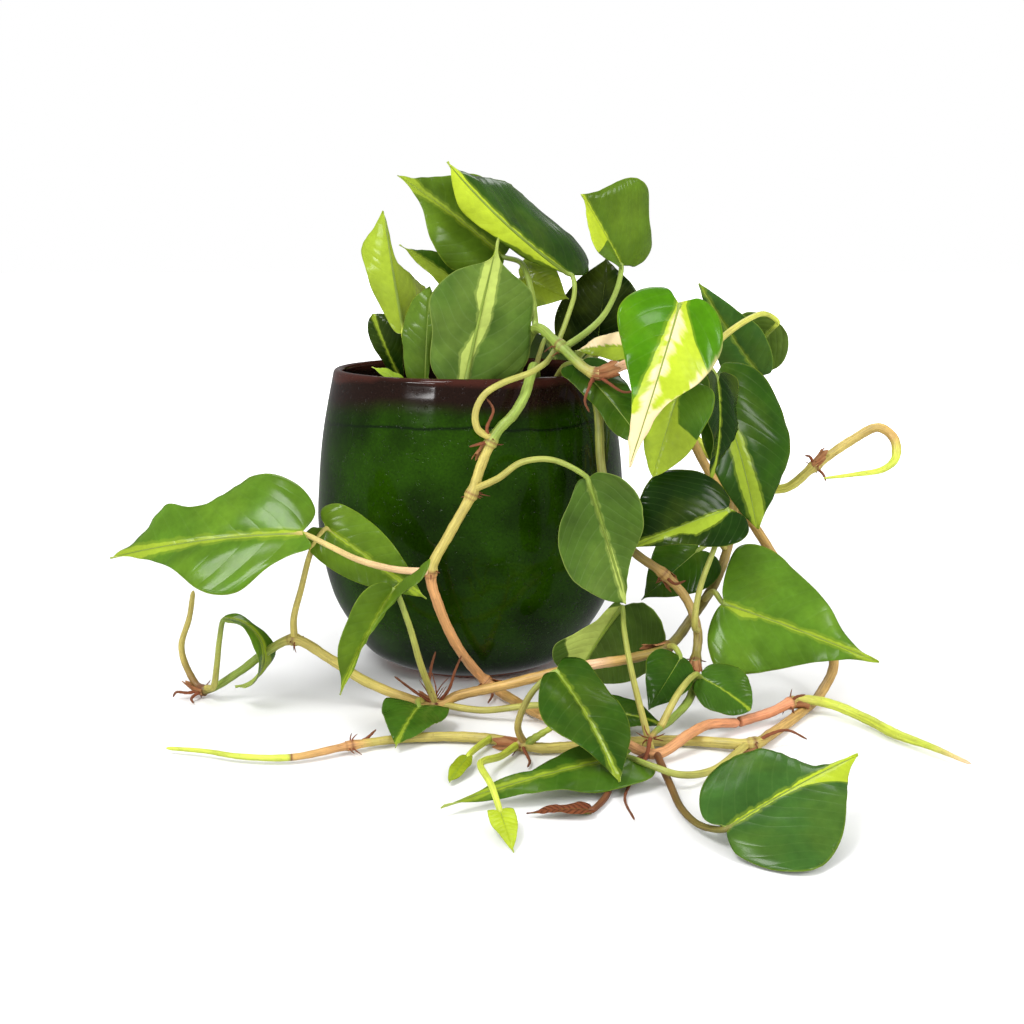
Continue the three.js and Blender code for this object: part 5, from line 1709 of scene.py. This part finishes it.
        lime=(),
    ),
    Leaf(
        name="front_underside",
        stalk=((4, -89, 106), (15, -95, 112), (26, -98, 120), (40, -98, 121)),
        base=(56, -94, 112),
        tip=(73.6, -104, 55.5),
        face=(0.1, 1, 0.1),
        outline=(
            ((0.08, 0), (0.19, 0.13), (0.32, 0.29), (0.38, 0.5), (0.33, 0.73), (0.16, 0.92)),
            ((0.11, -0.02), (0.27, 0.06), (0.37, 0.25), (0.33, 0.48), (0.14, 0.69), (0.05, 0.87)),
        ),
        bend=0.3,
        fold=(-0.1, -0.2),
        lime=(((0, -0.01, 0.01), (0.5, -0.012, 0.012), (0.75, -0.02, 0.02), (1, -0.02, 0.02)),),
    ),
    Leaf(
        name="middle_glossy",
        stalk=((109, -87, 38), (106, -98, 44), (108, -97, 60), (115, -94, 80)),
        base=(122, -86, 96),
        tip=(76, -96, 80),
        face=(0, -0.85, 0.5),
        outline=(
            ((0.12, -0.1), (0.27, -0.06), (0.35, 0.1), (0.29, 0.35), (0.17, 0.58), (0.08, 0.8)),
            ((0.12, -0.06), (0.3, 0.01), (0.46, 0.2), (0.55, 0.46), (0.42, 0.7), (0.17, 0.88)),
        ),
        fold=(0.35, 0.3),
        # Partly painted shade: a darker ground for the shade this leaf sits in.
        shade=Shade.DEEP,
        lime=(
            ((0, -0.03, 0.008), (0.2, -0.1, 0.012), (0.42, -0.14, 0.0), (0.55, -0.07, 0.0),
             (1, -0.02, 0.03)),
        ),
    ),
    Leaf(
        name="middle_low",
        stalk=((128, -48, 68), (122, -52, 74)),
        base=(112, -58, 70),
        tip=(84, -68, 48),
        face=(0, -1, 0.4),
        width=0.9,
        shade=Shade.DARK,
        lime=(),
    ),
    Leaf(
        name="low_hanging",
        stalk=((81, -158, 4), (78, -140, 16), (75, -119, 29), (73, -101, 43)),
        base=(73, -88, 50),
        tip=(52, -82, 13),
        face=(0, 1, 0.2),
        outline=(
            ((0.08, -0.02), (0.12, 0.13), (0.16, 0.32), (0.27, 0.55), (0.41, 0.76), (0.3, 0.95)),
            ((0.16, -0.2), (0.42, -0.12), (0.64, 0.13), (0.69, 0.42), (0.57, 0.72), (0.27, 0.92)),
        ),
        fold=(0.1, 0.1),
        shade=Shade.DARK,
        lime=(((0, -0.02, 0.0), (0.2, -0.2, 0.0), (0.45, -0.4, 0.0), (0.7, -0.3, 0.01), (1, -0.02, 0.02)),),
    ),
    Leaf(
        name="floor_pointed",
        stalk=((27, -146, 3.8), (24, -153, 15), (30, -154, 30)),
        base=(40.5, -150, 38),
        tip=(64, -196, 6.8),
        face=(0.2, -0.6, 0.7),
        outline=(
            ((0.12, -0.12), (0.2, -0.04), (0.24, 0.18), (0.25, 0.45), (0.22, 0.7), (0.06, 0.92)),
            ((0.1, 0.02), (0.22, 0.17), (0.31, 0.36), (0.31, 0.55), (0.14, 0.73), (0.04, 0.88)),
        ),
        fold=(0.3, 0.35),
        shade=Shade.DARK,
        lime=(((0, -0.008, 0.008), (0.6, -0.012, 0.01), (1, -0.02, 0.02)),),
        stalk_tones=(Tone.TAN, Tone.GREEN),
    ),
    Leaf(
        name="floor_tucked",
        stalk=((-12, -97, 5), (8, -105, 5), (34, -111, 9.5), (52, -116, 9)),
        base=(62, -119, 9),
        tip=(90, -126, 5),
        face=(0, -0.5, 1),
        width=0.7,
        shade=Shade.DARK,
    ),
    Leaf(
        name="floor_long",
        stalk=((124, -145, 3.8), (103, -176, 3.5), (88, -188, 7), (78, -184, 9)),
        base=(68, -174, 9),
        tip=(-6.1, -214, 4),
        face=(0, -0.4, 1),
        outline=(
            ((0.1, -0.1), (0.2, -0.02), (0.21, 0.12), (0.18, 0.3), (0.13, 0.5), (0.04, 0.78)),
            ((0.06, -0.08), (0.11, 0.02), (0.12, 0.17), (0.12, 0.32), (0.05, 0.52), (0.03, 0.78)),
        ),
        bend=0.2,
        fold=(0.25, 0.2),
    ),
    Leaf(
        name="floor_right",
        stalk=((83, -158, 4), (85, -189, 3.2), (87, -214, 3), (92, -231, 4)),
        base=(99, -243, 8.2),
        tip=(154, -212, 24.4),
        face=(-0.05, -0.42, 0.9),
        outline=(
            ((0.14, -0.05), (0.31, 0.07), (0.42, 0.3), (0.33, 0.57), (0.1, 0.73), (0.03, 0.87)),
            ((0.15, -0.06), (0.38, 0.03), (0.5, 0.2), (0.42, 0.46), (0.23, 0.68), (0.06, 0.87)),
        ),
        bend=0.25,
        fold=(0.1, 0.2),
        shade=Shade.BLUE,
        lime=(
            ((0, -0.01, 0.01), (0.45, -0.014, 0.014), (0.6, -0.02, 0.04), (0.78, -0.02, 0.13),
             (1, -0.1, 0.1)),
        ),
        bright=True,
        stalk_tones=(Tone.BROWN, Tone.OLIVE),
    ),
    Leaf(
        name="low_folded",
        stalk=((86, -142, 10), (95, -131, 22), (104, -117, 26)),
        base=(108, -109, 22),
        tip=(129, -120, 10),
        face=(0, -0.6, 0.8),
        outline=(
            ((0.12, -0.04), (0.3, 0.02), (0.48, 0.26), (0.5, 0.5), (0.38, 0.75), (0.16, 0.93)),
            ((0.12, -0.04), (0.3, 0.02), (0.48, 0.26), (0.5, 0.5), (0.38, 0.75), (0.16, 0.93)),
        ),
        fold=(0.35, 0.3),
    ),
    Leaf(
        name="right_wide",
        stalk=((115, -64, 47), (118, -76, 54)),
        base=(121.3, -84, 50.4),
        tip=(192, -99, 26),
        face=(0, -0.85, 0.5),
        outline=(
            ((0.16, -0.05), (0.39, -0.03), (0.44, 0.18), (0.33, 0.41), (0.22, 0.6), (0.05, 0.82)),
            ((0.13, -0.04), (0.31, 0.01), (0.43, 0.14), (0.33, 0.35), (0.18, 0.6), (0.05, 0.83)),
        ),
        bend=0.3,
        fold=(0.15, 0.2),
        shade=Shade.FRESH,
        lime=(
            ((0, -0.02, 0.015), (0.14, -0.012, 0.045), (0.24, -0.012, 0.014), (0.75, -0.018, 0.012),
             (1, -0.03, 0.03)),
        ),
    ),
    Leaf(
        name="low_right_dark",
        stalk=((94, -91, 31), (97, -97, 33)),
        base=(99, -104, 30),
        tip=(82, -130, 14),
        face=(0.35, -0.55, 0.75),
        outline=(
            ((0.08, -0.02), (0.18, 0.05), (0.28, 0.2), (0.3, 0.42), (0.22, 0.66), (0.08, 0.87)),
            ((0.08, -0.02), (0.2, 0.05), (0.33, 0.2), (0.36, 0.42), (0.26, 0.66), (0.09, 0.87)),
        ),
        shade=Shade.DARK,
        lime=(),
    ),
    Leaf(
        name="left_big",
        stalk=((-16, -93, 68), (-32, -105, 72), (-48, -111, 78), (-60, -111, 84)),
        base=(-73, -107, 89),
        tip=(-166, -86, 73),
        face=(0, -0.75, 0.65),
        outline=(
            ((0.09, -0.05), (0.17, 0.13), (0.29, 0.28), (0.28, 0.44), (0.12, 0.64), (0.03, 0.84)),
            ((0.13, -0.05), (0.27, 0.06), (0.33, 0.28), (0.19, 0.53), (0.22, 0.72), (0.08, 0.88)),
        ),
        bend=0.4,
        fold=(0.25, 0.2),
        shade=Shade.FRESH,
        lime=(
            ((0, -0.014, 0.014), (0.4, -0.016, 0.014), (0.6, -0.035, 0.014), (0.85, -0.035, 0.03),
             (1, -0.03, 0.03)),
        ),
        stalk_tones=(Tone.BLUSH, Tone.STRAW),
    ),
    Leaf(
        name="left_centre",
        stalk=((-81, -88, 34), (-80, -94, 46), (-76, -96, 60), (-70, -95, 80)),
        base=(-64, -91, 88),
        tip=(-18, -98, 56),
        face=(0.1, -1, 0.3),
        width=0.5,
        full=0.4,
        shade=Shade.OLIVE,
        stalk_tones=(Tone.STRAW, Tone.STRAW),
    ),
    Leaf(
        name="left_pleated",
        stalk=((-14, -97, 5), (-20, -110, 28), (-25, -116, 50)),
        base=(-31, -118, 66),
        tip=(-55, -128, 20),
        face=(-0.4, -0.9, 0.3),
        outline=(
            ((0.05, -0.17), (0.14, -0.36), (0.19, -0.16), (0.07, 0.12), (0.04, 0.4), (0.03, 0.72)),
            ((0.1, 0), (0.2, 0.1), (0.25, 0.28), (0.22, 0.48), (0.15, 0.69), (0.05, 0.87)),
        ),
        fold=(0.5, 1.2),
        shade=Shade.OLIVE,
    ),
    Leaf(
        name="low_small",
        stalk=((-20, -96, 7), (-22, -104, 9)),
        base=(-21, -112, 9),
        tip=(-29, -148, 3),
        face=(0, -0.6, 0.8),
        width=0.8,
    ),
    Leaf(
        name="left_curled",
        stalk=((-127, -73, 5), (-122, -80, 8), (-119, -84, 20), (-117, -85, 33)),
        base=(-114.5, -85, 43),
        tip=(-110.6, -85, 10),
        face=(0.95, -0.18, 0.05),
        outline=(
            ((0.05, 0.01), (0.1, 0.12), (0.13, 0.3), (0.2, 0.54), (0.2, 0.75), (0.08, 0.92)),
            ((0.05, 0.01), (0.1, 0.12), (0.13, 0.3), (0.2, 0.54), (0.2, 0.75), (0.08, 0.92)),
        ),
        bend=3.2,
        shade=Shade.FRESH,
        lime=(((0, -0.02, 0.02), (0.5, -0.05, 0.05), (0.7, -0.2, 0.2), (1, -0.3, 0.3)),),
    ),
    Leaf(
        name="yellow_baby",
        stalk=((24, -146, 3.8), (17, -160, 4), (10, -176, 8), (9, -192, 12), (14, -214, 12)),
        base=(17, -222, 6),
        tip=(22, -248, 1.5),
        face=(0, 0, 1),
        width=0.4,
        bend=0.1,
        lobes=0.2,
        shade=Shade.LIME,
        lime=(((0, -0.3, 0.3), (1, -0.3, 0.3)),),
        bright=True,
        stalk_tones=(Tone.LIME, Tone.LIME),
    ),
    Leaf(
        name="pale_shoot",
        stalk=((12, -138, 3.5), (6, -150, 3.5)),
        base=(3, -160, 4),
        tip=(-4, -184, 2),
        face=(0, -0.4, 1),
        outline=(
            ((0.05, 0), (0.1, 0.08), (0.14, 0.26), (0.15, 0.46), (0.12, 0.68), (0.06, 0.88)),
            ((0.05, 0), (0.1, 0.08), (0.14, 0.26), (0.15, 0.46), (0.12, 0.68), (0.06, 0.88)),
        ),
        bend=0.1,
        shade=Shade.LIME,
        stalk_tones=(Tone.LIME, Tone.LIME),
    ),
    Leaf(
        name="dried_leaf",
        stalk=((80, -158, 4), (66, -172, 1.8), (58, -200, 1.8)),
        base=(52, -212, 2),
        tip=(27, -215, 2),
        face=(0, 0, 1),
        width=0.4,
        bend=0.3,
        lobes=0.2,
        shade=Shade.DRY,
        lime=(),
        stalk_tones=(Tone.BROWN, Tone.BROWN),
    ),
    Leaf(
        name="rim_pale",
        stalk=((77, -69, 162), (81, -56, 166)),
        base=(78, -46, 168),
        tip=(52, -42, 166),
        face=(0, -0.8, 0.6),
        width=0.6,
        shade=Shade.PALE,
        lime=(((0, -0.3, 0.05), (1, -0.4, 0.2)),),
        cream=(((0.2, 0.05, 0.3), (1, 0.0, 0.3)),),
    ),
    Leaf(
        name="back_high",
        stalk=((4, 20, 133), (2, 26, 165)),
        base=(4, 30, 190),
        tip=(24, 58, 160),
        face=(0.2, 0.7, 0.7),
    ),
    Leaf(
        name="back_left",
        stalk=((-20, 16, 133), (-26, 24, 152)),
        base=(-30, 30, 171),
        tip=(-47, 74, 148),
        face=(-0.3, 0.5, 0.9),
        shade=Shade.DARK,
    ),
    Leaf(
        name="back_right",
        stalk=((30, 30, 133), (36, 44, 156)),
        base=(40, 54, 166),
        tip=(54, 92, 124),
        face=(0.3, 0.8, 0.6),
        shade=Shade.FRESH,
    ),
    Leaf(
        name="back_hanging_high",
        stalk=((-30, 87, 140), (-34, 95, 142)),
        base=(-36, 102, 136),
        tip=(-58, 99, 76),
        face=(-0.2, 1, 0.3),
    ),
    Leaf(
        name="back_hanging_mid",
        stalk=((-18, 93, 98), (-6, 99, 104)),
        base=(2, 103, 102),
        tip=(28, 98, 44),
        face=(0.2, 1, 0.3),
        shade=Shade.DARK,
    ),
    Leaf(
        name="back_hanging_low",
        stalk=((-16, 93, 58), (-28, 102, 62)),
        base=(-36, 104, 58),
        tip=(-58, 98, 8),
        face=(-0.1, 1, 0.3),
        shade=Shade.FRESH,
    ),
)


SLOTS: dict[str, Slot] = {
    "lime_fold": Slot.LIME_LEAF,
    "lime_behind": Slot.LIME_LEAF,
    "centre_pale": Slot.LIME_LEAF,
    "yellow_baby": Slot.LIME_LEAF,
    "pale_shoot": Slot.LIME_LEAF,
    "cream_heart": Slot.CREAM_LEAF,
    "rim_pale": Slot.CREAM_LEAF,
    "dried_leaf": Slot.DRY_LEAF,
    "broad_underside": Slot.UNDERSIDE,
    "front_underside": Slot.UNDERSIDE,
    "far_right_under": Slot.UNDERSIDE,
    "pink_vine": Slot.PINK_STEM,
}


# Pot and mix


@dataclass(frozen=True)
class Pot:
    """The turned and glazed pot."""

    height: float = 154.8
    widest: float = 80.0
    wall: float = 4.6
    floor: float = 9.0
    shape: tuple[Pair, ...] = (
        (0, 0.513), (0.05, 0.69), (0.12, 0.786), (0.25, 0.921),
        (0.45, 1), (0.62, 0.993), (0.8, 0.956), (1, 0.879),
    )
    foot_middle: float = 20.0
    foot_corner: Margin = ((2.2, 0.0), (0.9, 0.12))
    foot_top: float = 0.8
    sides: int = 168
    outer_rows: int = 96
    lip_rows: int = 14
    inner_rows: int = 30
    throwing: float = 0.0003
    out_of_round: float = 0.0018

    def radius(self, z: np.ndarray) -> np.ndarray:
        """The outer radius at some heights."""
        curve = even_curve(self.shape, np.linspace(0, len(self.shape) - 1, 400))
        return np.interp(z / self.height, curve[:, 0], curve[:, 1]) * self.widest

    def profile(self) -> np.ndarray:
        """Radii and heights, from the middle of the foot round the lip to the middle of the hollow."""
        round_lip = self.wall / 2
        top = self.height - round_lip
        outer = [(self.radius(z), z) for z in np.linspace(self.foot_top, top, self.outer_rows)]
        foot = [(0.0, 0.0), (self.foot_middle, 0.0)]
        foot += [(self.radius(0.0) - inset, rise) for inset, rise in self.foot_corner]
        angle = np.linspace(0, math.pi, self.lip_rows)[1:-1]
        centre = self.radius(top) - round_lip
        lip = [(centre + round_lip * math.cos(a), top + round_lip * math.sin(a)) for a in angle]
        inner_heights = np.linspace(top, self.floor, self.inner_rows)
        inner = [(self.radius(z) - self.wall, z) for z in inner_heights]
        return np.array([*foot, *outer, *lip, *inner, (0.0, self.floor)])

    def make(self, finish: bpy.types.Material) -> bpy.types.Object:
        """Turns the pot in the place of its solid.

        Args:
            finish: The glaze.

        Returns:
            The piece.
        """
        profile = self.profile()
        angle = np.arange(self.sides) * 2 * math.pi / self.sides
        ring = profile[1:-1]
        throw = 1 + self.throwing * np.sin(ring[:, 1] * 1.05) * smooth(ring[:, 1], 4, 20)
        wobble = 1 - self.out_of_round * (1 + np.sin(2 * angle + 0.6)) / 2
        reach = (ring[:, 0] * np.minimum(throw, 1.0))[:, None] * wobble[None, :]
        heights = np.broadcast_to(ring[:, 1][:, None], reach.shape)
        grid = np.stack([reach * np.cos(angle), reach * np.sin(angle), heights], -1)
        points = np.concatenate([grid.reshape(-1, 3), [(0, 0, profile[0][1]), (0, 0, profile[-1][1])]])
        faces = grid_faces(len(ring), self.sides, closed=True)
        count = len(ring) * self.sides
        faces += fans(count - self.sides, self.sides, count, count + 1)
        skin = Skin()
        skin.add(points, {0: faces})
        return placed(skin.made("glazed_pot", [finish]), Slot.POT, "pot")


@dataclass(frozen=True)
class Mix:
    """The potting mix: a lumpy mound with chips of bark on it."""

    pot: Pot
    level: float = 133.0
    mound: float = 5.0
    gap: float = 0.3
    depth: float = 12.0
    dip: float = 0.9
    sides: int = 96
    rings: int = 34
    chips: int = 330
    chip_halves: Margin = ((1.0, 3.6), (0.8, 2.2), (0.35, 0.9))
    chip_unevenness: Pair = (-0.35, 0.2)
    chip_tilt: float = 0.35
    chip_top: float = 1.5
    bark: Triple = linear(120, 84, 56)
    bark_shades: Pair = (0.35, 1.3)
    seed: int = 17

    def height(self, share: np.ndarray) -> np.ndarray:
        """The height of the mound at shares of its radius."""
        return self.level + self.mound * np.interp(share, [0, 0.35, 0.7, 1], [1, 0.9, 0.55, 0])

    def make(self, finishes: Sequence[bpy.types.Material]) -> bpy.types.Object:
        """Fills the pot, in the place of the mix's solid.

        Args:
            finishes: Materials of the mix and of the chips.

        Returns:
            The piece.
        """
        skin = Skin()
        sides, rings, bottom = self.sides, self.rings, self.level - self.depth
        edge = float(self.pot.radius(np.array(self.level))) - self.pot.wall - self.gap
        angle = np.arange(sides) * 2 * math.pi / sides
        share = np.linspace(1, 0.02, rings)
        reach = np.broadcast_to((edge * share)[:, None], (rings, sides))
        x, y = reach * np.cos(angle), reach * np.sin(angle)
        lumps = 0.7 * np.sin(x * 0.55 + 2 * np.sin(y * 0.31)) * np.sin(y * 0.6 + np.sin(x * 0.4))
        lumps = lumps + 0.35 * np.sin(x * 1.7 + 1) * np.sin(y * 1.9) - self.dip
        z = self.height(share)[:, None] + lumps * smooth(1 - share, 0, 0.08)[:, None]
        top = np.stack([x, y, z], -1).reshape(-1, 3)
        low = np.stack([x[0], y[0], np.full(sides, bottom)], -1)
        middle = [(0, 0, bottom), (0, 0, self.height(np.array(0.0)) - self.dip)]
        points = np.concatenate([low, top, middle])
        faces = grid_faces(rings + 1, sides, closed=True)
        count = (rings + 1) * sides
        faces += fans(count - sides, sides, count, count + 1)
        skin.add(points, {MixWear.CRUMB: faces})
        self.add_chips(skin, edge)
        return placed(skin.made("bark_mix", finishes), Slot.MIX, "potting_mix")

    def add_chips(self, skin: Skin, edge: float) -> None:
        """Scatters chips over the mound.

        Args:
            skin: The mix's skin.
            edge: The radius of the mound.
        """
        rng = np.random.default_rng(self.seed)
        corners = np.array([(sx, sy, sz) for sx in (-1, 1) for sy in (-1, 1) for sz in (-1, 1)], float)
        faces = [(0, 1, 3, 2), (4, 6, 7, 5), (0, 4, 5, 1), (2, 3, 7, 6), (0, 2, 6, 4), (1, 5, 7, 3)]
        for _ in range(self.chips):
            share, turn = math.sqrt(rng.uniform(0, 0.93)), rng.uniform(0, 2 * math.pi)
            half = np.array([rng.uniform(*ends) for ends in self.chip_halves])
            body = corners * (1 + rng.uniform(*self.chip_unevenness, corners.shape)) * half
            tilt, spin = rng.normal(0, self.chip_tilt, 2), rng.uniform(0, 2 * math.pi)
            body[:, 2] += body[:, 0] * tilt[0] + body[:, 1] * tilt[1]
            cosine, sine = math.cos(spin), math.sin(spin)
            body[:, :2] = body[:, :2] @ np.array([[cosine, sine], [-sine, cosine]])
            away, top = edge * share, self.height(np.array(share)) - self.dip
            body += (away * math.cos(turn), away * math.sin(turn), top)
            body[:, 2] = np.minimum(body[:, 2], self.level + self.mound + self.chip_top)
            tone = np.array(self.bark) * rng.uniform(*self.bark_shades)
            skin.add(body, {MixWear.CHIP: faces}, tone=tone)


# Studio


@dataclass(frozen=True)
class Lamp:
    """A soft rectangular light."""

    name: str
    place: Triple
    aim: Triple
    size: Pair
    power: float
    mirrored: bool = True

    def hang(self) -> None:
        """Hangs the light."""
        lamp = bpy.data.lights.new(self.name, "AREA")
        lamp.shape = "RECTANGLE"
        lamp.size, lamp.size_y = self.size
        lamp.energy = self.power
        body = bpy.data.objects.new(self.name, lamp)
        body.location = self.place
        way = Vector(self.aim) - Vector(self.place)
        body.rotation_euler = way.to_track_quat("-Z", "Y").to_euler()
        body.visible_glossy = self.mirrored
        bpy.context.scene.collection.objects.link(body)


@dataclass(frozen=True)
class Studio:
    """Pale floor, soft lights and the camera of the picture."""

    eye: Triple = (0.0215, -0.700, 0.213)
    pitch: float = 79.1
    lens: float = 47.36
    film: float = 36.0
    floor_radius: float = 14.0
    floor_drop: float = 0.0002
    floor_sides: int = 96
    white: float = 1.0
    ambient: float = 0.92
    mirrored: float = 0.25
    lamps: tuple[Lamp, ...] = (
        Lamp("key_light", (-0.55, -0.75, 1.25), (0.0, 0.0, 0.08), (0.45, 0.45), 11.5),
        Lamp("fill_light", (1.2, -0.9, 0.8), (0.0, 0.0, 0.1), (0.9, 0.9), 8.0, mirrored=False),
        Lamp("window_light", (-0.905, -1.094, 0.6), (0.0, 0.0, 0.147), (0.6, 0.07), 4.6),
        Lamp("side_window", (0.98, -0.9, 0.75), (0.0, 0.0, 0.12), (0.28, 0.42), 4.2),
        Lamp("back_light", (0.1, 1.1, 1.3), (0.0, 0.0, 0.1), (1.2, 0.8), 9.0),
    )

    def lay_floor(self) -> None:
        """Lays the floor, which isn't part of the plant."""
        sides = self.floor_sides
        ring = [
            (self.floor_radius * math.cos(a), self.floor_radius * math.sin(a), -self.floor_drop)
            for a in np.arange(sides) * 2 * math.pi / sides
        ]
        mesh = bpy.data.meshes.new("floor")
        mesh.from_pydata(ring, [], [tuple(range(sides))])
        mesh.materials.append(Backdrop().made())
        floor = bpy.data.objects.new("floor", mesh)
        bpy.context.scene.collection.objects.link(floor)
        floor.visible_glossy = False

    def light(self) -> None:
        """Sets the surrounding light, white to the camera and dimmer in reflections."""
        world = bpy.data.worlds.new("studio")
        bpy.context.scene.world = world
        world.use_nodes = True
        nodes, links = world.node_tree.nodes, world.node_tree.links
        path = nodes.new("ShaderNodeLightPath")
        level = nodes.new("ShaderNodeMix")
        level.inputs["A"].default_value = self.ambient
        level.inputs["B"].default_value = self.mirrored
        links.new(path.outputs["Is Glossy Ray"], level.inputs["Factor"])
        shown = nodes.new("ShaderNodeMix")
        shown.inputs["B"].default_value = self.white
        links.new(level.outputs[0], shown.inputs["A"])
        links.new(path.outputs["Is Camera Ray"], shown.inputs["Factor"])
        links.new(shown.outputs[0], nodes["Background"].inputs["Strength"])
        nodes["Background"].inputs["Color"].default_value = (1.0, 1.0, 1.0, 1.0)
        for lamp in self.lamps:
            lamp.hang()

    def shoot(self) -> None:
        """Places the camera and the picture's plain tone curve."""
        scene = bpy.context.scene
        lens = bpy.data.cameras.new("camera")
        lens.lens, lens.sensor_width = self.lens, self.film
        camera = bpy.data.objects.new("camera", lens)
        camera.location = self.eye
        camera.rotation_euler = (math.radians(self.pitch), 0.0, 0.0)
        scene.collection.objects.link(camera)
        scene.camera = camera
        scene.view_settings.view_transform = "Standard"


def main() -> None:
    """Builds and dresses the plant, piece by piece, and lights it."""
    logging.basicConfig(level=logging.INFO, format="%(message)s")
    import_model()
    upper, back, dry = UPPER.made(), BACK.made(), DRY_BLADE.made()
    stem, root = STEM.made(), ROOT.made()
    pot = Pot()
    pot.make(Glaze().made())
    Mix(pot).make([Loose().made(), Bark().made()])
    for vine in VINES:
        vine.make([stem, root, dry], SLOTS.get(vine.name, Slot.STEM))
    for leaf in LEAVES:
        worn = [dry, dry, stem] if leaf.shade is Shade.DRY else [upper, back, stem]
        leaf.make(worn, SLOTS.get(leaf.name, Slot.LEAF))
    studio = Studio()
    studio.lay_floor()
    studio.light()
    studio.shoot()


if __name__ == "__main__":
    main()
